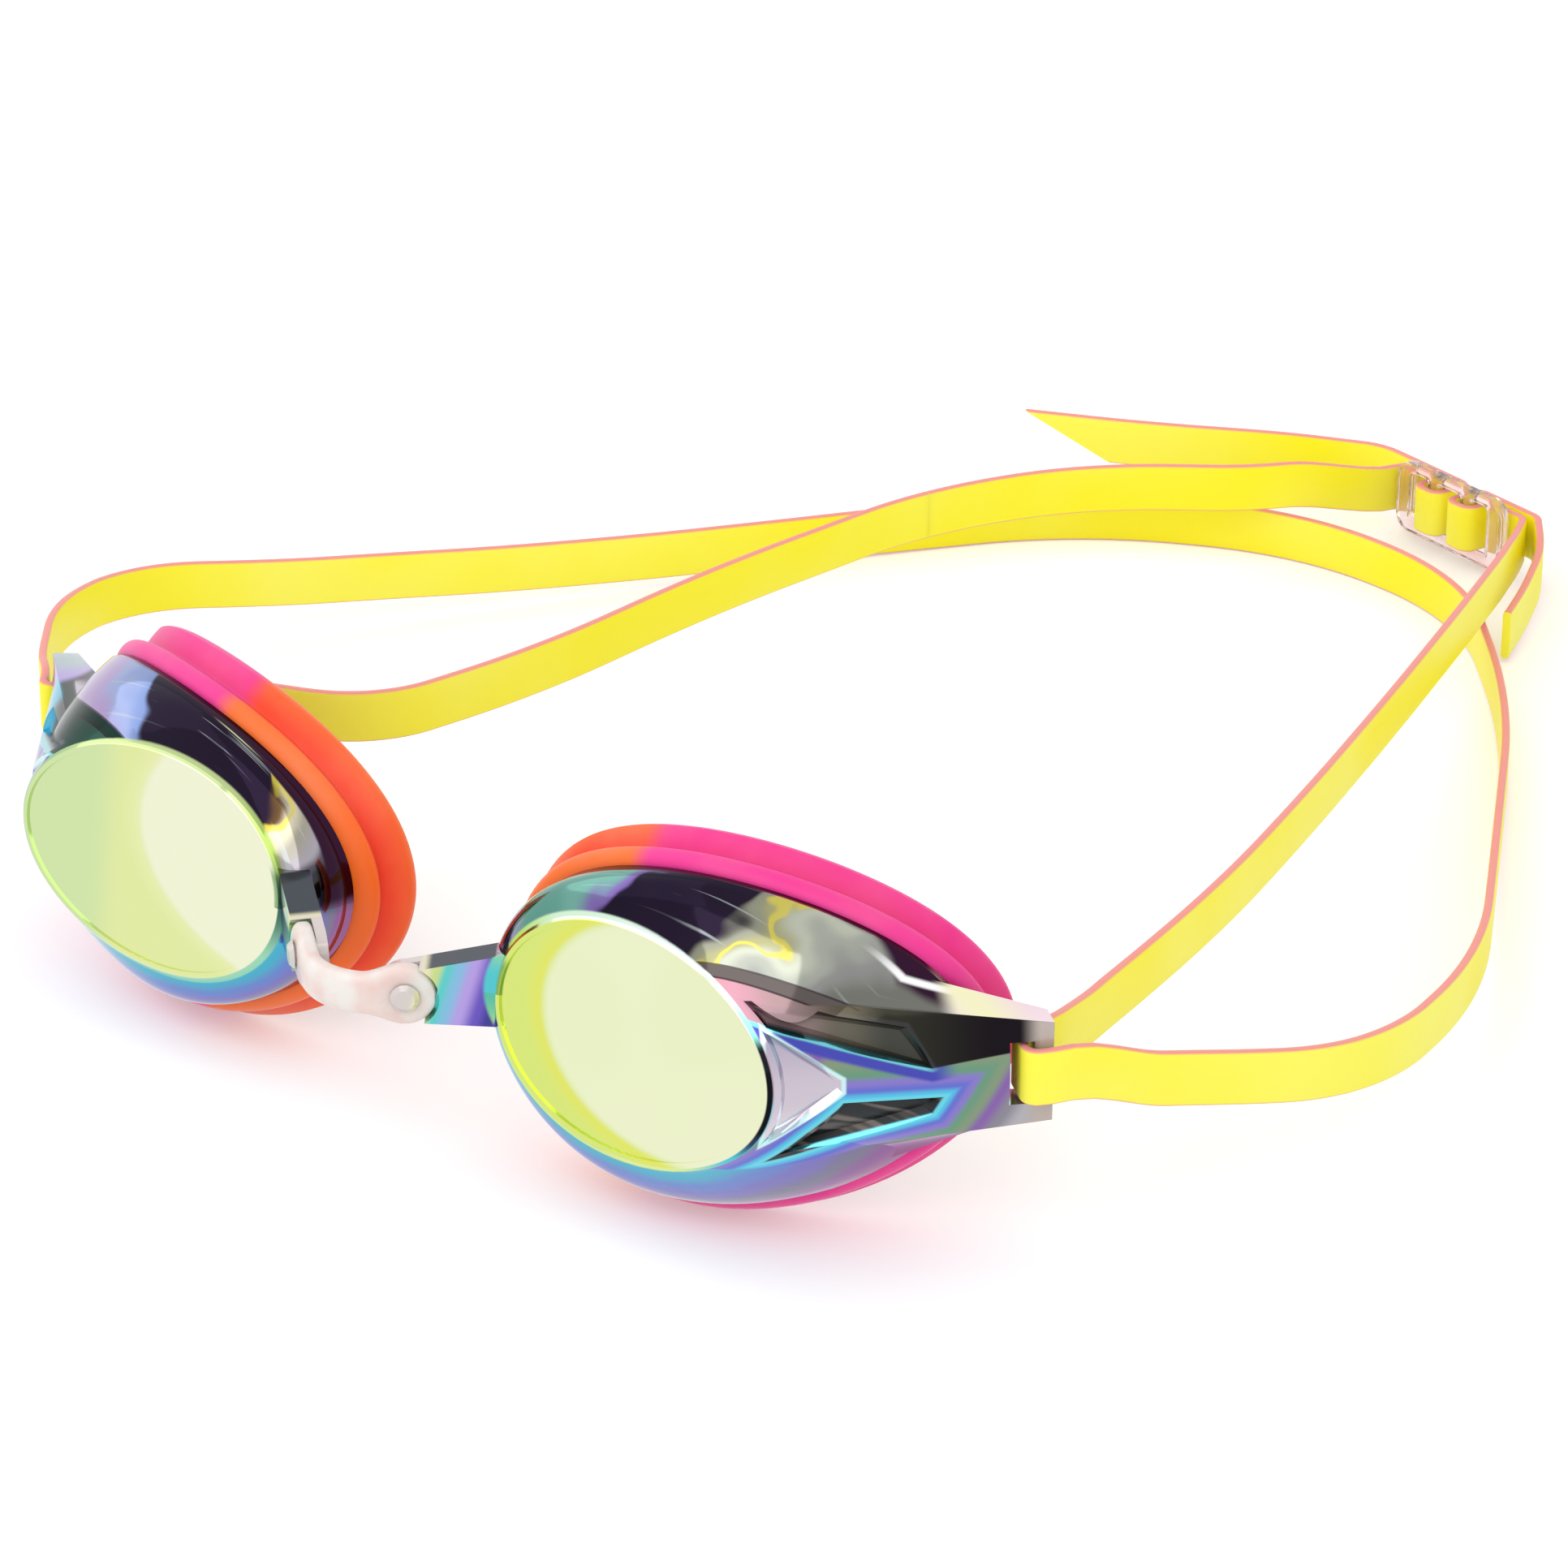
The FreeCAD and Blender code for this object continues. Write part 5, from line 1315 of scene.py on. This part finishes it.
class GOGGLES_OT_finishes(bpy.types.Operator):
    """Give the cups and the buckle their finishes"""
    bl_idname = "goggles.finishes"
    bl_label = "Cup And Buckle Finishes"

    def execute(self, context):
        for word, side in SIDES.items():
            paint_cad(word + "_lens_cup", cup_material("mirror_coat_" + word, side))
        paint_cad("buckle", buckle_material())
        return {"FINISHED"}


# --------------------------------------------------------------------- stage

FLOOR_POINTS = 9
# Light that the floor adds of its own to look white, as a strength.
FLOOR_LIFT = 0.26
# Lamps from the goggles' centre, and the side of each square lamp, in metres.
KEY_PLACE = Vector((0.35, -0.95, 0.75))
FILL_PLACE = Vector((-0.8, -0.3, 0.85))
LAMP_SIDE = 1.2


def seen_by(tree):
    """Whether a thing is seen by the camera, and whether in gloss or through glass."""
    rays = add_node(tree, "LightPath").outputs
    gloss = Field(rays["Is Glossy Ray"]).calc("MAXIMUM", Field(rays["Is Transmission Ray"]))
    return Field(rays["Is Camera Ray"]), gloss


def floor_material():
    """White floor: it keeps the goggles' shadow, and shows as plain white in gloss."""
    material, tree = new_material("white_floor")
    camera, gloss = seen_by(tree)
    matt = add_node(tree, "BsdfDiffuse", {"Color": (0.85, 0.85, 0.85, 1)})
    lift = add_node(tree, "Emission", {"Color": (1, 1, 1, 1), "Strength": camera * FLOOR_LIFT})
    seen = add_node(tree, "AddShader", {0: matt, 1: lift})
    white = add_node(tree, "Emission", {"Color": (1, 1, 1, 1), "Strength": 1.0})
    blend = add_node(tree, "MixShader", {0: gloss, 1: seen, 2: white})
    add_node(tree, "OutputMaterial", {"Surface": blend})
    return material


def make_floor(size):
    """A flat square floor under the goggles, as a grid."""
    side = np.linspace(-size / 2, size / 2, FLOOR_POINTS)
    x, y = np.meshgrid(side, side)
    points = np.stack([x, y, np.zeros_like(x)], -1)
    corners = grid_quads(FLOOR_POINTS, FLOOR_POINTS, False, False)
    quads = corners[..., 0] * FLOOR_POINTS + corners[..., 1]
    mesh = bpy.data.meshes.new("studio_floor")
    mesh.from_pydata(points.reshape(-1, 3), [], quads[:, ::-1].tolist())
    floor = add_object("studio_floor", mesh, floor_material())
    floor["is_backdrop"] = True


def add_lamp(name, target, offset, power):
    """Square area lamp at an offset from its target, aimed at it."""
    data = bpy.data.lights.new(name, "AREA")
    data.shape = "SQUARE"
    data.size = LAMP_SIDE
    data.energy = power
    lamp = add_object(name, data)
    lamp.location = target + offset
    lamp.rotation_euler = (-offset).to_track_quat("-Z", "Y").to_euler()


def make_world(strength):
    """Even white light, seen as pure white."""
    world = bpy.data.worlds.new("studio_white")
    bpy.context.scene.world = world
    world.use_nodes = True
    tree = world.node_tree
    tree.nodes.clear()
    camera, gloss = seen_by(tree)
    level = camera.calc("MAXIMUM", gloss) * (1 - strength) + strength
    sky = add_node(tree, "Background", {"Color": (1, 1, 1, 1), "Strength": level})
    add_node(tree, "OutputWorld", {"Surface": sky})


def make_camera(stage):
    """The camera, at the eye point and turned by azimuth, elevation and roll."""
    data = bpy.data.cameras.new("studio_camera")
    data.lens = stage.lens
    data.sensor_width = 36
    data.clip_start = 0.01
    data.clip_end = 50
    camera = add_object("studio_camera", data)
    aim = Euler((math.pi / 2 - stage.elevation, 0, stage.azimuth)).to_matrix()
    matrix = (aim @ Matrix.Rotation(stage.roll, 3, "Z")).to_4x4()
    matrix.translation = Vector(stage.eye)
    camera.matrix_world = matrix
    bpy.context.scene.camera = camera


class GOGGLES_OT_stage(bpy.types.Operator):
    """Make the white floor, the lamps, the world and the camera"""
    bl_idname = "goggles.stage"
    bl_label = "Stage"

    def execute(self, context):
        stage = context.scene.goggles_stage
        make_floor(stage.floor_size)
        make_world(stage.sky)
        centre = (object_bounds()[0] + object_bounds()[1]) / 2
        add_lamp("key_lamp", centre, KEY_PLACE, stage.key_power)
        add_lamp("fill_lamp", centre, FILL_PLACE, stage.fill_power)
        make_camera(stage)
        context.scene.view_settings.view_transform = "Standard"
        return {"FINISHED"}


class GOGGLES_PT_panel(bpy.types.Panel):
    """Buttons and settings of the swim goggles"""
    bl_label = "Swim Goggles"
    bl_idname = "GOGGLES_PT_panel"
    bl_space_type = "VIEW_3D"
    bl_region_type = "UI"
    bl_category = "Goggles"

    def draw(self, context):
        """One button for each operator, then each group of settings in a box."""
        for operator in OPERATORS:
            self.layout.operator(operator.bl_idname)
        for key in SETTINGS:
            box = self.layout.box()
            group = getattr(context.scene, key)
            for name in group.__annotations__:
                box.prop(group, name)


SETTINGS = {
    "goggles_cup": GogglesCupSizes,
    "goggles_gasket": GogglesGasketSizes,
    "goggles_bridge": GogglesBridgeSizes,
    "goggles_strap": GogglesStrapSizes,
    "goggles_colours": GogglesColours,
    "goggles_stage": GogglesStage,
}
OPERATORS = [GOGGLES_OT_gaskets, GOGGLES_OT_bridge, GOGGLES_OT_strap, GOGGLES_OT_finishes,
             GOGGLES_OT_stage]
CLASSES = [*SETTINGS.values(), *OPERATORS, GOGGLES_PT_panel]


def register():
    """Add the operators, the panel and the settings to Blender."""
    for item in CLASSES:
        bpy.utils.register_class(item)
    for key, group in SETTINGS.items():
        setattr(bpy.types.Scene, key, PointerProperty(type=group))


def unregister():
    """Take them away again."""
    for key in SETTINGS:
        delattr(bpy.types.Scene, key)
    for item in reversed(CLASSES):
        bpy.utils.unregister_class(item)


def main():
    """Build everything."""
    register()
    bpy.ops.goggles.gaskets()
    bpy.ops.goggles.bridge()
    bpy.ops.goggles.strap()
    bpy.ops.goggles.finishes()
    bpy.ops.goggles.stage()


if __name__ == "__main__":
    main()
